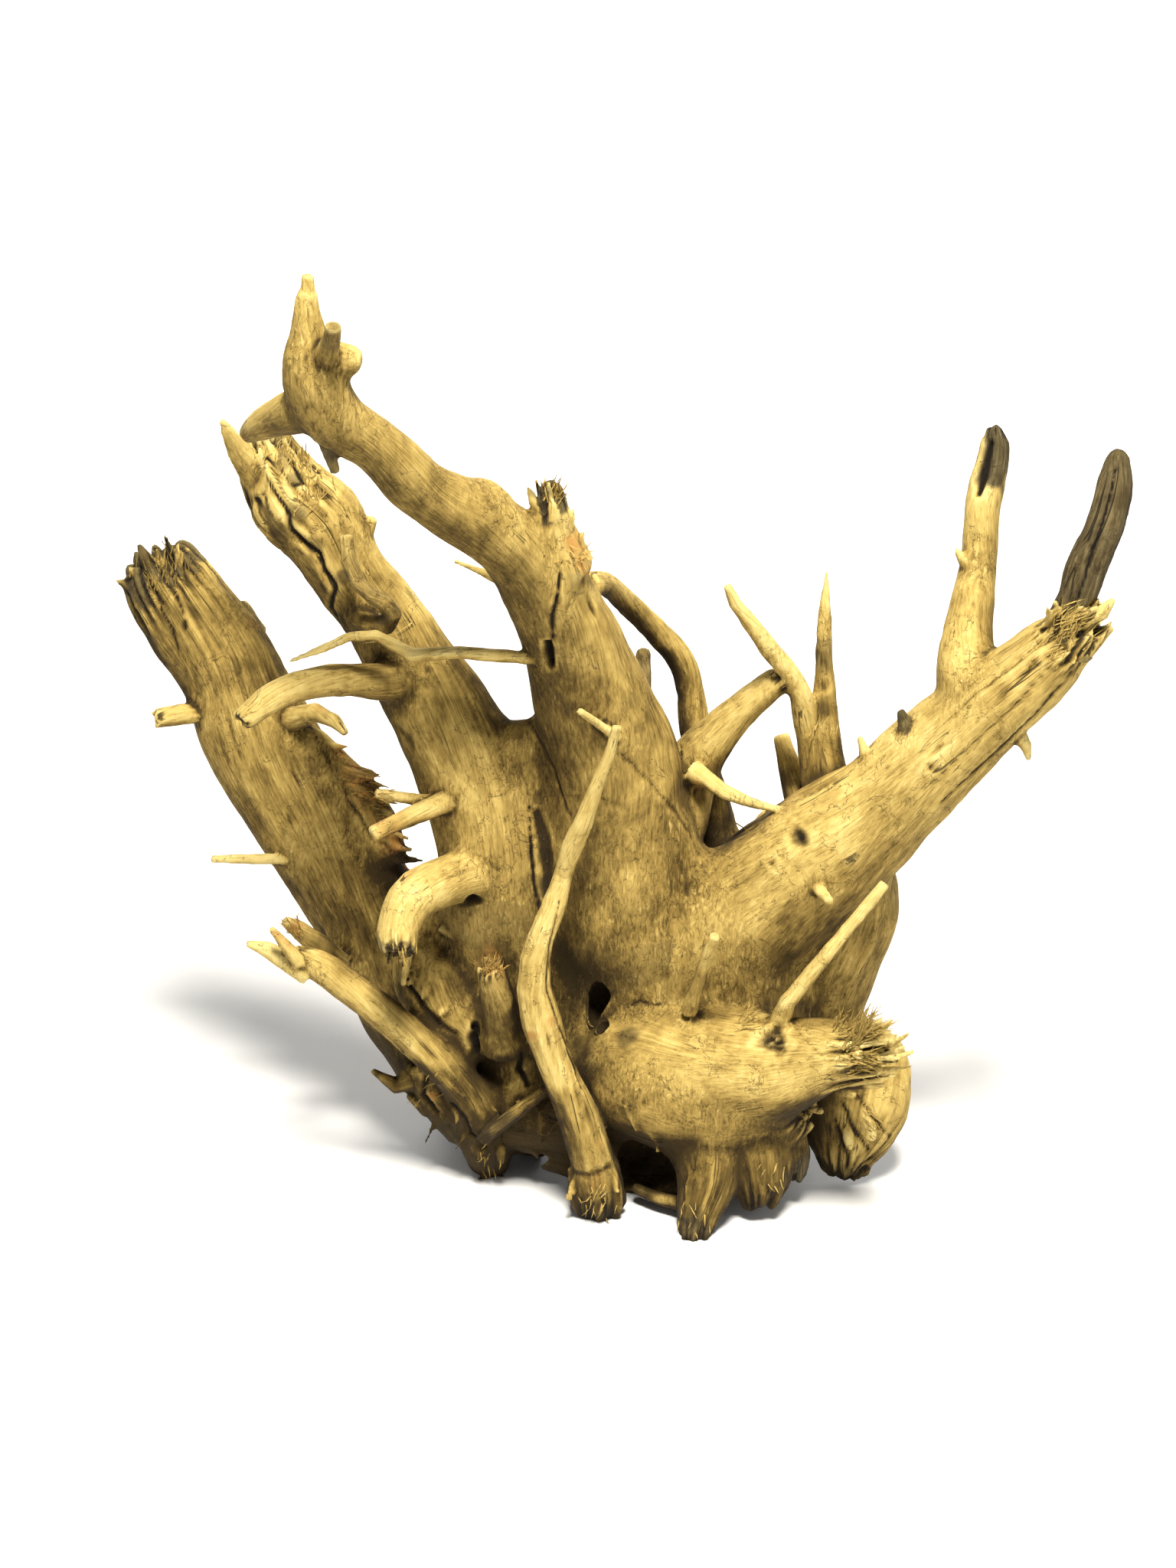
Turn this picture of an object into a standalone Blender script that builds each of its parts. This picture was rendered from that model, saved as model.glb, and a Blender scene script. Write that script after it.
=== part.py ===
# Corbo root: a big weathered root stump, one grown piece, standing on its broken feet.
# Metres, +Z up, front towards -Y. The origin is on the ground, under the middle of its box.

import math

import bmesh
import bpy
import numpy as np
from mathutils import Vector, noise
from mathutils.bvhtree import BVHTree

# Driving dimensions
MM = 0.001
SIGHT_TILT = math.radians(20.0)       # the front view looks down by this much
SIGHT_DISTANCE = 1.400                # from the eye to the measuring plane
PLANE_FOOT = Vector((0.0, -0.090, 0.0))   # where the measuring plane meets the ground
EYE_ACROSS = -0.016                   # the eye's axis on the measuring plane
EYE_UP = 0.295
BODY_VOXEL = 0.0060                   # blends the trunk and the arms
BRANCH_VOXEL = 0.0034                 # keeps the branches and the broken edges
BODY_TRIANGLES = 6100                 # before the twigs, splinters and cuts are added
BODY_JOINT = 0.030                    # how far the softening reaches from a joint
BODY_PASSES = 22
BODY_SWELL = 0.0030                   # gives back what the softening takes
BRANCH_JOINT = 0.012
BRANCH_PASSES = 8
BRANCH_SWELL = 0.0008
JOINT_LEAST = 0.12                    # softening away from the joints
RELIEF = 0.0040                       # ridges and lumps of the weathered skin
RIDGES_PER_METRE = 42.0
LUMPS_PER_METRE = 22.0
FULL_RELIEF_RADIUS = 0.028            # thinner limbs get less relief
RIDGE_STRETCH = 6.0
LUMP_SHARE, RIDGE_SHARE, RIDGE_MEAN = 0.8, 1.1, 0.2
LIMB_SPACING = 3.0                    # keeps the ridges of two limbs apart
SPLINTER_SUNK = 0.010                 # how deep a splinter is rooted
SPLINTER_SHOULDER = 0.6               # where its taper changes, as a share of its length
SPLINTER_SHOULDER_WIDTH, SPLINTER_TIP_WIDTH = 0.72, 0.22
HOLLOW_SIZE = (0.048, 0.046, 0.066)   # half sizes of the hollow under the stump
HOLLOW_MIDDLE = (0.004, 0.030, -0.004)
CUT_REACH = 400                       # cuts are sighted from this far in front, in millimetres
CUT_START_WIDTH, CUT_END_WIDTH = 0.5, 0.6
WOOD_COLOUR = (0.402, 0.262, 0.073, 1.0)
WOOD_ROUGHNESS = 0.86

# Each row of a limb is (across, up, back, radius) in millimetres: across and up are read on
# the measuring plane from the front, back is the true depth, and the radius is as seen there.
# A limb's first value is its depth divided by its width.
ARMS = {
    "left_arm": (0.62, [
        (-299, 440, 96, 25), (-288, 421, 92, 31), (-254, 373, 84, 35), (-226, 317, 72, 35),
        (-193, 267, 60, 35), (-162, 217, 46, 35), (-131, 162, 30, 40), (-88, 105, 16, 42)]),
    "torn_edge": (0.45, [
        (-197, 330, 60, 8), (-186, 312, 56, 13), (-168, 290, 48, 15), (-154, 268, 38, 15),
        (-144, 246, 28, 12)]),
    "web": (0.60, [
        (-70, 282, 4, 30), (-62, 304, 2, 24), (-58, 322, 0, 17), (-57, 337, -2, 9)]),
    "spur_web": (0.60, [
        (-90, 226, 8, 20), (-110, 200, 10, 22), (-118, 172, 8, 22)]),
    "second_arm": (0.72, [
        (-228, 518, 34, 17), (-224, 508, 34, 20), (-212, 484, 33, 26), (-190, 464, 32, 28),
        (-173, 434, 28, 24), (-153, 407, 25, 25), (-135, 378, 20, 29), (-112, 342, 14, 34),
        (-90, 302, 8, 37), (-75, 257, 4, 40), (-65, 207, 4, 44), (-50, 157, 8, 43)]),
    "top_arm": (0.86, [
        (-199, 592, -138, 12), (-197, 577, -137, 18), (-194, 558, -135, 22), (-186, 540, -130, 22),
        (-170, 527, -122, 19), (-155, 517, -116, 18), (-122, 487, -98, 19), (-95, 472, -84, 22),
        (-66, 451, -66, 23), (-46, 427, -50, 28), (-30, 394, -32, 30), (-17, 357, -16, 36),
        (0, 307, -4, 43), (2, 257, 4, 50), (8, 197, 8, 55)]),
    "right_arm": (0.82, [
        (40, 172, 6, 50), (82, 205, 0, 49), (131, 245, -12, 43), (171, 275, -22, 37),
        (210, 312, -34, 31), (250, 349, -46, 27), (285, 379, -56, 24), (306, 398, -62, 18)]),
    "trunk_left": (0.90, [
        (-70, 217, 8, 42), (-55, 162, 14, 46), (-48, 110, 16, 44)]),
    "trunk_middle": (0.92, [
        (0, 267, 8, 46), (10, 207, 14, 54), (20, 152, 18, 56), (26, 105, 18, 52)]),
    "trunk_right": (0.88, [
        (75, 207, 8, 50), (85, 157, 14, 52), (90, 112, 18, 45), (84, 77, 16, 36)]),
    "trunk_far_right": (0.80, [
        (132, 252, -6, 30), (152, 222, 2, 33), (140, 177, 8, 33), (130, 132, 8, 31),
        (148, 96, -4, 26)]),
    "base_front": (0.80, [
        (-50, 62, -20, 17), (-8, 52, -22, 20), (32, 48, -28, 21), (72, 52, -34, 21)]),
    "nose": (0.92, [
        (-16, 112, 18, 38), (10, 112, -18, 44), (44, 110, -36, 44), (82, 110, -54, 38),
        (112, 113, -64, 31), (140, 119, -74, 23), (160, 119, -82, 17), (172, 118, -86, 12)]),
    "belly": (0.86, [
        (-4, 92, 10, 34), (20, 90, -22, 37), (56, 82, -36, 38), (94, 82, -44, 32), (122, 90, -50, 22)]),
    "sheet_edge": (0.75, [
        (-8, 316, -25, 9), (11, 295, -22, 12), (31, 272, -15, 13), (40, 257, -8, 15),
        (46, 238, 4, 20)]),
    "base_left": (0.90, [
        (-88, 90, 0, 26), (-56, 84, -14, 26), (-20, 80, -24, 25), (20, 80, -26, 26)]),
    "heel": (0.95, [
        (-88, 110, 14, 36), (-60, 92, 22, 36), (-10, 84, 30, 34), (50, 80, 30, 34)]),
}

BRANCHES = {
    "broken_stub": (0.90, [
        (-34, 436, -52, 22), (-39, 462, -62, 14), (-42, 484, -68, 11)]),
    "arm_hump": (1.00, [(-102, 478, -84, 13), (-88, 484, -80, 12), (-74, 474, -74, 13)]),
    "left_spur": (1.00, [
        (-70, 234, 10, 19), (-90, 236, -14, 17), (-112, 230, -34, 16), (-130, 220, -52, 16),
        (-140, 202, -66, 15), (-140, 184, -76, 13)]),
    "finger": (1.00, [
        (-138, 362, 10, 16), (-152, 362, -8, 13), (-175, 363, -22, 11), (-195, 361, -36, 10),
        (-215, 355, -48, 9.5), (-230, 346, -56, 9), (-243, 335, -62, 8.5)]),
    "fork": (1.00, [
        (40, 262, 16, 20), (54, 308, 22, 17), (70, 329, 18, 12.5), (87, 346, 12, 10),
        (102, 358, 8, 9), (110, 364, 5, 8.5)]),
    "behind_fork": (0.80, [
        (54, 322, 46, 9), (58, 292, 44, 14), (64, 262, 42, 17), (70, 236, 36, 20)]),
    "tall_branch": (1.00, [
        (246, 336, -44, 18), (233, 360, -38, 20), (232, 382, -30, 17), (234, 407, -20, 13.5),
        (239, 441, -8, 11), (241, 474, -2, 12), (244, 489, 2, 12.5), (248, 507, 7, 10.5),
        (249.5, 519, 10, 8.5), (250, 529, 12, 5)]),
    "dark_blade": (0.80, [
        (296, 398, -60, 15), (302, 415, -60, 13), (311, 440, -58, 13.5), (322, 467, -54, 12.5),
        (328, 492, -50, 12), (330, 508, -48, 8), (331, 514, -47, 4)]),
    "cracked_spike": (1.00, [
        (141, 290, 6, 14), (139, 322, 10, 11), (139, 347, 12, 7.5), (138, 378, 14, 5.5),
        (139, 407, 16, 3.8)]),
    "pale_twig": (0.90, [
        (134, 292, 14, 10), (127, 332, 10, 7.5), (120, 360, 2, 6.5), (98, 388, -6, 5.5)]),
    "head_prong": (1.00, [
        (-186, 544, -130, 20), (-206, 538, -120, 16), (-219, 534, -106, 12.5), (-230, 529, -92, 10),
        (-239, 523, -80, 6)]),
    "head_stub": (1.00, [
        (-198, 576, -137, 15), (-199, 594, -138, 11.5), (-200, 606, -139, 9), (-199, 618, -140, 6.4)]),
    "head_knob": (1.00, [
        (-186, 572, -136, 14), (-172, 572, -138, 11), (-164, 570, -138, 7.5)]),
    "behind_limb": (1.00, [
        (-16, 425, -20, 9), (-4, 425, 16, 7), (10, 412, 42, 7), (30, 393, 56, 7.5),
        (45, 374, 58, 8), (51, 352, 54, 8), (54, 326, 46, 9)]),
    "lower_strut": (0.90, [
        (-206, 184, -30, 8), (-188, 174, -32, 10), (-171, 162, -33, 10.5), (-146, 143, -34, 11),
        (-123, 123, -34, 11.5), (-104, 105, -32, 12.5), (-88, 86, -28, 15), (-84, 66, -16, 17),
        (-80, 50, -5, 13), (-80, 43, 0, 9)]),
    "left_foot": (1.00, [
        (-118, 116, 0, 20), (-106, 90, -6, 19), (-92, 70, -8, 17)]),
    "torn_plate": (0.60, [
        (-128, 198, 8, 12), (-120, 168, -8, 24), (-102, 142, -13, 26), (-76, 128, -18, 20)]),
    "peg": (1.00, [
        (-72, 126, -22, 17), (-72, 138, -34, 12), (-75, 157, -48, 10), (-80, 176, -58, 8)]),
    "front_foot": (1.00, [
        (50, 84, -46, 27), (60, 58, -60, 26), (61, 34, -72, 20), (56, 14, -82, 15), (53, -6, -88, 12)]),
    "second_foot": (1.00, [
        (82, 76, -44, 28), (92, 52, -54, 26), (95, 36, -60, 21), (95, 23, -63, 13)]),
    "dark_lump": (1.00, [
        (104, 70, -42, 21), (113, 50, -48, 16), (115, 37, -51, 10)]),
    "right_flange": (0.44, [
        (158, 124, 0, 30), (159, 100, -10, 34), (156, 78, -18, 34), (154, 62, -22, 28),
        (152, 48, -26, 18), (152, 38, -28, 7)]),
    "stick_foot": (1.00, [
        (-13, 50, -64, 15), (-10, 37, -61, 18), (-9, 25, -59, 18), (-9, 14, -57, 13)]),
    "stick_root": (0.80, [
        (-12, 46, -64, 11), (-4, 58, -36, 12), (6, 74, -6, 18)]),
}

TWIGS = {
    "front_stick": [
        (3, 333, -74, 3.4), (-2, 313, -73, 4), (-11, 293, -71, 5), (-19, 270, -67, 6.5),
        (-27, 253, -62, 6.4), (-32, 237, -58, 6), (-39, 213, -62, 8), (-46, 196, -64, 8.4),
        (-50, 182, -65, 9.4), (-51, 162, -65, 10.8), (-46, 141, -65, 12), (-40, 121, -65, 11.4),
        (-30, 96, -66, 12.6), (-20, 72, -66, 14), (-13, 50, -64, 15)],
    "crossing_twig": [
        (-36, 374, -30, 6), (-51, 377, -42, 4.8), (-78, 379, -44, 4.6), (-100, 381, -43, 4.6),
        (-130, 379, -38, 4.8), (-142, 385, -35, 4.6), (-155, 392, -32, 4.4),
        (-172, 391, -34, 3.6), (-190, 383, -40, 2.6), (-211, 375, -46, 1.2)],
    "bent_branchlet": [
        (-166, 402, 14, 9), (-157, 398, -8, 8), (-148, 399, -17, 7.4), (-144, 406, -21, 7),
        (-149, 413, -22, 6.4), (-158, 418, -20, 6), (-167, 427, -17, 5.8), (-172, 441, -13, 5.4),
        (-174, 458, -9, 4.6)],
    "short_twig": [(-110, 283, -12, 5), (-122, 284, -14, 4), (-155, 289, -24, 3.4)],
    "gap_stub": [(-100, 286, -8, 9), (-113, 282, -18, 7), (-136, 272, -30, 6), (-157, 262, -40, 5.2)],
    "arm_stub": [(-262, 342, 74, 8), (-281, 341, 64, 7.2), (-298, 338, 56, 6.6)],
    "thin_side_twig": [(-192, 246, 54, 4.5), (-213, 246, 42, 3.6), (-262, 246, 30, 2.6)],
    "arm_knob": [(-262, 396, 90, 15), (-243, 402, 96, 14), (-234, 391, 102, 11)],
    "arm_curl": [(-212, 336, 64, 8), (-194, 342, 42, 6), (-181, 336, 28, 4.6), (-174, 328, 20, 2.6)],
    "behind_tip": [(-62, 424, -36, 5), (-77, 430, -30, 3.4), (-104, 441, -34, 1.2)],
    "behind_spike": [(6, 336, 4, 8), (20, 356, 36, 6), (20, 382, 54, 4.4)],
    "down_twig": [(-191, 536, -130, 7), (-187, 516, -126, 5), (-181, 498, -122, 3.6)],
    "head_stub_tip": [(-200, 598, -138, 7.5), (-199, 614, -139, 5.6), (-199, 628, -140, 4.6)],
    "head_cut_stub": [(-188, 572, -144, 9), (-183, 586, -158, 6.6), (-182, 594, -165, 5.8)],
    "left_splinter": [(-232, 494, 24, 10), (-244, 512, 16, 8), (-251, 525, 10, 5.4), (-255, 533, 8, 2)],
    "arm_bump": [(-172, 448, 30, 10), (-160, 462, 30, 6), (-156, 469, 30, 3.4)],
    "fork_thread": [
        (52, 303, 2, 8), (60, 299, -4, 6), (73, 290, -8, 4.6), (90, 283, -12, 3.2),
        (118, 276, -18, 1.4)],
    "pale_twig_tip": [(103, 382, -4, 6.2), (90, 400, -9, 5.4), (80, 413, -13, 4.8), (75, 425, -15, 3.2)],
    "spike_tip": [(138, 392, 15, 5), (139, 414, 16, 3.2), (140, 434, 18, 1.2)],
    "stub_behind": [(128, 258, 8, 12), (119, 294, 34, 8.5), (110, 327, 46, 5)],
    "small_twig": [(12, 320, -28, 5), (1, 327, -42, 3.8), (-22, 343, -60, 2.4)],
    "nose_peg": [(50, 146, -50, 6), (55, 163, -60, 4.6), (67, 196, -76, 3.4)],
    "long_side_stick": [
        (108, 136, -60, 8), (114, 152, -70, 6), (140, 184, -74, 5.2), (178, 230, -66, 3.6)],
    "small_peg": [(132, 232, -34, 5), (136, 225, -52, 4), (142, 218, -66, 2.8)],
    "strut_tip": [(-198, 172, -30, 8.5), (-212, 180, -30, 7), (-226, 187, -30, 5), (-239, 191, -30, 2.2)],
    "strut_splinter": [(-204, 178, -36, 5), (-214, 190, -40, 4), (-223, 201, -43, 2)],
    "strut_back_strip": [(-178, 176, 14, 9), (-192, 190, 6, 8), (-205, 200, 0, 6), (-214, 206, -4, 3)],
    "grey_splinter": [(-84, 64, -34, 6), (-76, 70, -42, 5.5), (-58, 84, -48, 5.5), (-40, 98, -52, 4)],
    "down_peg": [(-54, 80, -10, 8), (-56, 64, -20, 5), (-55, 55, -24, 3)],
    "low_strip": [(52, 20, -72, 6), (40, 22, -66, 5), (26, 26, -58, 4), (14, 32, -50, 3)],
    "lower_teeth_1": [(-140, 120, -8, 8), (-152, 112, -12, 4.5), (-160, 117, -12, 1.8)],
    "lower_teeth_2": [(-128, 104, -8, 9), (-142, 98, -10, 5.5), (-157, 108, -10, 1.8)],
    "lower_teeth_3": [(-108, 84, -10, 9), (-122, 84, -12, 6), (-134, 92, -12, 2)],
    "thorn_1": [(202, 318, -36, 8), (192, 331, -40, 5.6), (188, 343, -42, 2.4)],
    "thorn_2": [(174, 294, -24, 8), (166, 312, -28, 4), (161, 326, -30, 1.6)],
    "thorn_3": [(258, 336, -50, 8), (270, 320, -52, 3.6), (272, 311, -52, 1.4)],
    "thorn_4": [(236, 436, -12, 8), (227, 444, -14, 3), (224, 449, -14, 1.4)],
    "collar_flare": [(308, 400, -64, 9), (320, 407, -70, 5), (327, 416, -72, 2)],
    "collar_end": [(302, 386, -60, 12), (316, 390, -62, 7), (326, 398, -63, 3)],
}

# Limbs that the front does not show, as (x, y, z, radius) in millimetres.
BACK_LIMBS = {
    "back_left_foot": [
        (-40, 34, 150, 42), (-66, 58, 92, 36), (-84, 80, 40, 24), (-92, 90, 10, 15), (-93, 92, -6, 12)],
    "back_right_foot": [
        (60, 40, 150, 44), (82, 70, 88, 34), (96, 92, 36, 22), (102, 100, 8, 14), (103, 101, -6, 12)],
    "back_root": [
        (-6, 30, 232, 40), (-10, 70, 258, 27), (-20, 104, 292, 20), (-34, 130, 330, 16),
        (-40, 140, 352, 14)],
    "back_stub": [(74, 30, 200, 34), (96, 72, 196, 21), (112, 104, 204, 15), (118, 120, 212, 13)],
    "back_spur": [(-76, 30, 196, 26), (-96, 66, 190, 14), (-108, 96, 204, 9), (-112, 112, 222, 6)],
    "back_rib": [(-44, 34, 270, 22), (-30, 56, 210, 26), (-10, 66, 150, 24), (6, 66, 90, 20)],
}

# Splinters that stand in the broken ends: (across, up, back) of foot and tip, and foot radius.
SPLINTERS = {
    "left_arm_end": [
        ((-306, 420, 93), (-324, 428, 85), 9), ((-304, 430, 87), (-317, 438, 83), 8),
        ((-300, 436, 95), (-307, 442, 89), 9), ((-294, 436, 83), (-298, 449, 81), 7),
        ((-290, 438, 91), (-291, 457, 87), 8), ((-284, 434, 85), (-284, 453, 83), 6),
        ((-276, 428, 91), (-277, 446, 89), 7), ((-272, 424, 99), (-268, 443, 97), 7),
        ((-268, 416, 91), (-266, 430, 89), 8), ((-296, 430, 105), (-302, 444, 103), 8)],
    "second_arm_end": [
        ((-222, 508, 24), (-228, 523, 20), 7), ((-214, 506, 28), (-214, 523, 24), 6),
        ((-208, 500, 34), (-204, 517, 30), 6.5), ((-202, 490, 26), (-196, 508, 22), 6.5),
        ((-196, 478, 34), (-188, 494, 32), 6), ((-188, 466, 28), (-178, 478, 26), 6),
        ((-214, 500, 42), (-210, 518, 42), 7), ((-232, 500, 32), (-240, 514, 30), 8)],
    "top_arm_stub": [
        ((-50, 478, -72), (-56, 490, -75), 7), ((-46, 480, -66), (-50, 494, -68), 7),
        ((-40, 480, -74), (-42, 493, -76), 6), ((-36, 474, -66), (-33, 488, -68), 7),
        ((-30, 462, -66), (-25, 475, -68), 7), ((-24, 448, -60), (-19, 460, -62), 7)],
    "right_arm_end": [
        ((300, 396, -67), (314, 408, -71), 8), ((306, 392, -55), (320, 402, -53), 8),
        ((304, 400, -61), (312, 416, -63), 7), ((292, 404, -67), (288, 418, -75), 5),
        ((286, 400, -67), (284, 412, -77), 5)],
    "nose_end": [
        ((166, 126, -84), (186, 144, -96), 8), ((172, 120, -84), (196, 133, -98), 8),
        ((172, 112, -84), (202, 122, -96), 8), ((162, 130, -80), (174, 150, -88), 7),
        ((170, 106, -80), (197, 111, -88), 8), ((158, 98, -74), (182, 98, -80), 8),
        ((168, 132, -90), (180, 146, -98), 6), ((176, 116, -92), (198, 127, -102), 6)],
    "torn_edge_teeth": [
        ((-184, 320, 54), (-171, 319, 48), 6), ((-170, 302, 46), (-156, 299, 40), 7),
        ((-162, 290, 43), (-149, 283, 37), 6), ((-156, 278, 39), (-143, 276, 34), 6),
        ((-150, 268, 36), (-137, 262, 31), 7), ((-144, 254, 31), (-129, 252, 27), 6),
        ((-140, 246, 29), (-124, 245, 25), 6)],
    "fork_end": [((108, 362, 6), (112, 370, 4), 5)],
    "spur_end": [
        ((-144, 188, -74), (-148, 176, -80), 6), ((-136, 188, -76), (-136, 175, -82), 6),
        ((-130, 190, -70), (-130, 180, -76), 5)],
    "plate_end": [
        ((-122, 176, -26), (-136, 158, -32), 6), ((-134, 180, -22), (-138, 158, -28), 5)],
    "skirt_end": [
        ((36, 68, -54), (33, 51, -56), 7), ((25, 70, -48), (20, 57, -50), 6),
        ((14, 74, -42), (7, 62, -44), 6), ((128, 88, -62), (136, 78, -62), 6)],
    "flange_end": [
        ((170, 78, -16), (186, 66, -18), 8), ((160, 56, -18), (172, 50, -20), 8),
        ((172, 96, -10), (192, 100, -12), 9)],
}

# Cracks and hollows, as routes read on the front and cut into the surface: half width, sink.
CLEFTS = {
    "long_crack": (4.4, 2.4, [(-222, 488), (-200, 462), (-183, 434), (-180, 412), (-178, 385)]),
    "arm_cleft": (4.4, 2.0, [(-35, 436), (-37, 416), (-41, 390), (-43, 372)]),
    "twig_hole": (5.0, 2.0, [(-42, 386), (-41, 371)]),
    "palm_crack": (3.4, 1.0, [(-56, 337), (-44, 317), (-35, 289), (-28, 274)]),
    "wedge": (5.2, 1.2, [(-52, 282), (-51, 250), (-49, 226), (-46, 208)]),
    "wedge_side": (5.2, -0.5, [(-47, 270), (-46, 246), (-45, 226)]),
    "blade_groove": (2.8, 1.0, [(306, 424), (315, 452), (323, 478), (326, 496)]),
    "square_hole": (8.0, 5.0, [(-8, 156), (-9, 140)]),
    "torn_gap": (4.6, 2.0, [(-92, 134), (-90, 120)]),
    "knot_hole": (6.4, 1.0, [(96, 129), (106, 130), (114, 126)]),
    "nose_cavity": (8.0, 3.0, [(124, 84), (138, 87), (152, 90)]),
    "crotch_hollow": (8.0, 2.0, [(60, 284), (64, 268)]),
    "spur_hollow": (7.0, 2.0, [(-94, 214), (-86, 213)]),
    "branch_hollow": (6.4, -1.5, [(242, 508), (240, 488)]),
}


def sighted(across, up, back, radius=0.0):
    """Set a point seen on the measuring plane at its true depth, all in millimetres."""
    plane_up = Vector((0.0, math.sin(SIGHT_TILT), math.cos(SIGHT_TILT)))
    forward = Vector((0.0, math.cos(SIGHT_TILT), -math.sin(SIGHT_TILT)))
    eye = PLANE_FOOT + Vector((EYE_ACROSS, 0.0, 0.0)) + EYE_UP * plane_up - SIGHT_DISTANCE * forward
    seen = PLANE_FOOT + Vector((across * MM, 0.0, 0.0)) + up * MM * plane_up
    stretch = (back * MM - eye.y) / (seen.y - eye.y)
    return eye + stretch * (seen - eye), radius * MM * stretch


def tube(name, rows, flat=1.0, sides=6, smooth=False):
    """A tapered tube with closed ends along rows of (point, radius), flattened front to back."""
    curve = bpy.data.curves.new(name, "CURVE")
    curve.dimensions = "3D"
    curve.bevel_depth = 1.0
    curve.bevel_resolution = sides // 2 - 2
    curve.use_fill_caps = True
    spline = curve.splines.new("BEZIER" if smooth else "POLY")
    nodes = spline.bezier_points if smooth else spline.points
    nodes.add(len(rows) - 1)
    for node, (point, radius) in zip(nodes, rows):
        place = (point.x, point.y / flat, point.z)
        node.co = place if smooth else (*place, 1.0)
        node.radius = radius
        if smooth:
            node.handle_left_type = node.handle_right_type = "AUTO"
    curve.resolution_u = 4
    holder = bpy.data.objects.new(name, curve)
    bpy.context.collection.objects.link(holder)
    mesh = bpy.data.meshes.new_from_object(holder.evaluated_get(bpy.context.evaluated_depsgraph_get()))
    bpy.data.objects.remove(holder)
    shape = bmesh.new()
    shape.from_mesh(mesh)
    bmesh.ops.remove_doubles(shape, verts=shape.verts, dist=0.00001)
    bmesh.ops.scale(shape, vec=(1.0, flat, 1.0), verts=shape.verts)
    bmesh.ops.recalc_face_normals(shape, faces=shape.faces)
    return as_object(name, shape)


def as_object(name, shape):
    """Store a bmesh as a new object in the scene."""
    mesh = bpy.data.meshes.new(name)
    shape.to_mesh(mesh)
    shape.free()
    body = bpy.data.objects.new(name, mesh)
    bpy.context.collection.objects.link(body)
    return body


def joined(name, pieces):
    """Gather several meshes into one object, still as loose shells."""
    shape = bmesh.new()
    for piece in pieces:
        shape.from_mesh(piece.data)
        bpy.data.objects.remove(piece)
    return as_object(name, shape)


def applied(body, kind, **settings):
    """Add a modifier, apply it and keep its result as the object's mesh."""
    modifier = body.modifiers.new(kind, kind)
    for key, value in settings.items():
        setattr(modifier, key, value)
    mesh = bpy.data.meshes.new_from_object(body.evaluated_get(bpy.context.evaluated_depsgraph_get()))
    body.modifiers.clear()
    body.data = mesh
    return body


def outer_shell(body):
    """Keep the largest connected shell: sealed hollows and loose scraps are dropped."""
    shape = bmesh.new()
    shape.from_mesh(body.data)
    left = set(shape.verts)
    shells = []
    while left:
        seed = left.pop()
        shell = [seed]
        for vert in shell:
            for edge in vert.link_edges:
                other = edge.other_vert(vert)
                if other in left:
                    left.remove(other)
                    shell.append(other)
        shells.append(shell)
    shells.sort(key=len)
    scraps = [vert for shell in shells[:-1] for vert in shell]
    bmesh.ops.delete(shape, geom=scraps, context="VERTS")
    shape.to_mesh(body.data)
    shape.free()
    return body


def seen_rows(rows):
    return [sighted(*row) for row in rows]


def true_rows(rows):
    return [(Vector(row[:3]) * MM, row[3] * MM) for row in rows]


def fused(body, voxel):
    """Fuse loose shells into one skin."""
    applied(body, "REMESH", mode="VOXEL", voxel_size=voxel)
    return outer_shell(body)


def limb_lines(names):
    """The centre lines of these limbs: flattening and rows of (point, radius)."""
    lines = [(flat, seen_rows(rows)) for flat, rows in names.values()]
    return lines + [(1.0, true_rows(rows)) for rows in BACK_LIMBS.values()]


def nearest_limb(places, lines):
    """For each place: gaps to its nearest and next limb, offset, length along and radius."""
    gap, next_gap = np.full(len(places), 1.0), np.full(len(places), 1.0)
    offsets, along, thick = np.zeros((len(places), 3)), np.zeros(len(places)), np.ones(len(places))
    for number, (flat, rows) in enumerate(lines):
        limb_gap, limb_offset = np.full(len(places), 1.0), np.zeros((len(places), 3))
        limb_along, limb_thick = np.zeros(len(places)), np.ones(len(places))
        length = LIMB_SPACING * number
        for (start, wide), (end, narrow) in zip(rows, rows[1:]):
            reach = np.array(end - start)
            share = np.clip((places - np.array(start)) @ reach / (reach @ reach), 0.0, 1.0)
            offset = places - np.array(start) - share[:, None] * reach
            radius = wide + (narrow - wide) * share
            here = np.linalg.norm(offset / (1.0, flat, 1.0), axis=1) - radius
            closer = here < limb_gap
            limb_gap[closer] = here[closer]
            limb_offset[closer] = offset[closer]
            limb_along[closer] = (length + share * np.linalg.norm(reach))[closer]
            limb_thick[closer] = radius[closer]
            length += np.linalg.norm(reach)
        nearest = limb_gap < gap
        next_gap = np.where(nearest, gap, np.minimum(next_gap, limb_gap))
        gap[nearest] = limb_gap[nearest]
        offsets[nearest] = limb_offset[nearest]
        along[nearest] = limb_along[nearest]
        thick[nearest] = limb_thick[nearest]
    return gap, next_gap, offsets, along, thick


def vertex_places(body):
    places = np.empty(len(body.data.vertices) * 3)
    body.data.vertices.foreach_get("co", places)
    return places.reshape(-1, 3)


def softened(body, lines, reach, passes, swell):
    """Smooth the skin where limbs meet, and leave each limb its own width elsewhere."""
    gap, next_gap, _, _, _ = nearest_limb(vertex_places(body), lines)
    joint = np.clip(1.0 - (next_gap - gap) / reach, 0.0, 1.0)
    group = body.vertex_groups.new(name="joint")
    for number, share in enumerate(joint):
        group.add([number], max(float(share), JOINT_LEAST), "REPLACE")
    applied(body, "SMOOTH", factor=0.5, iterations=passes, vertex_group="joint")
    applied(body, "DISPLACE", strength=swell, mid_level=0.0, vertex_group="joint")
    body.vertex_groups.clear()
    return body


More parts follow.
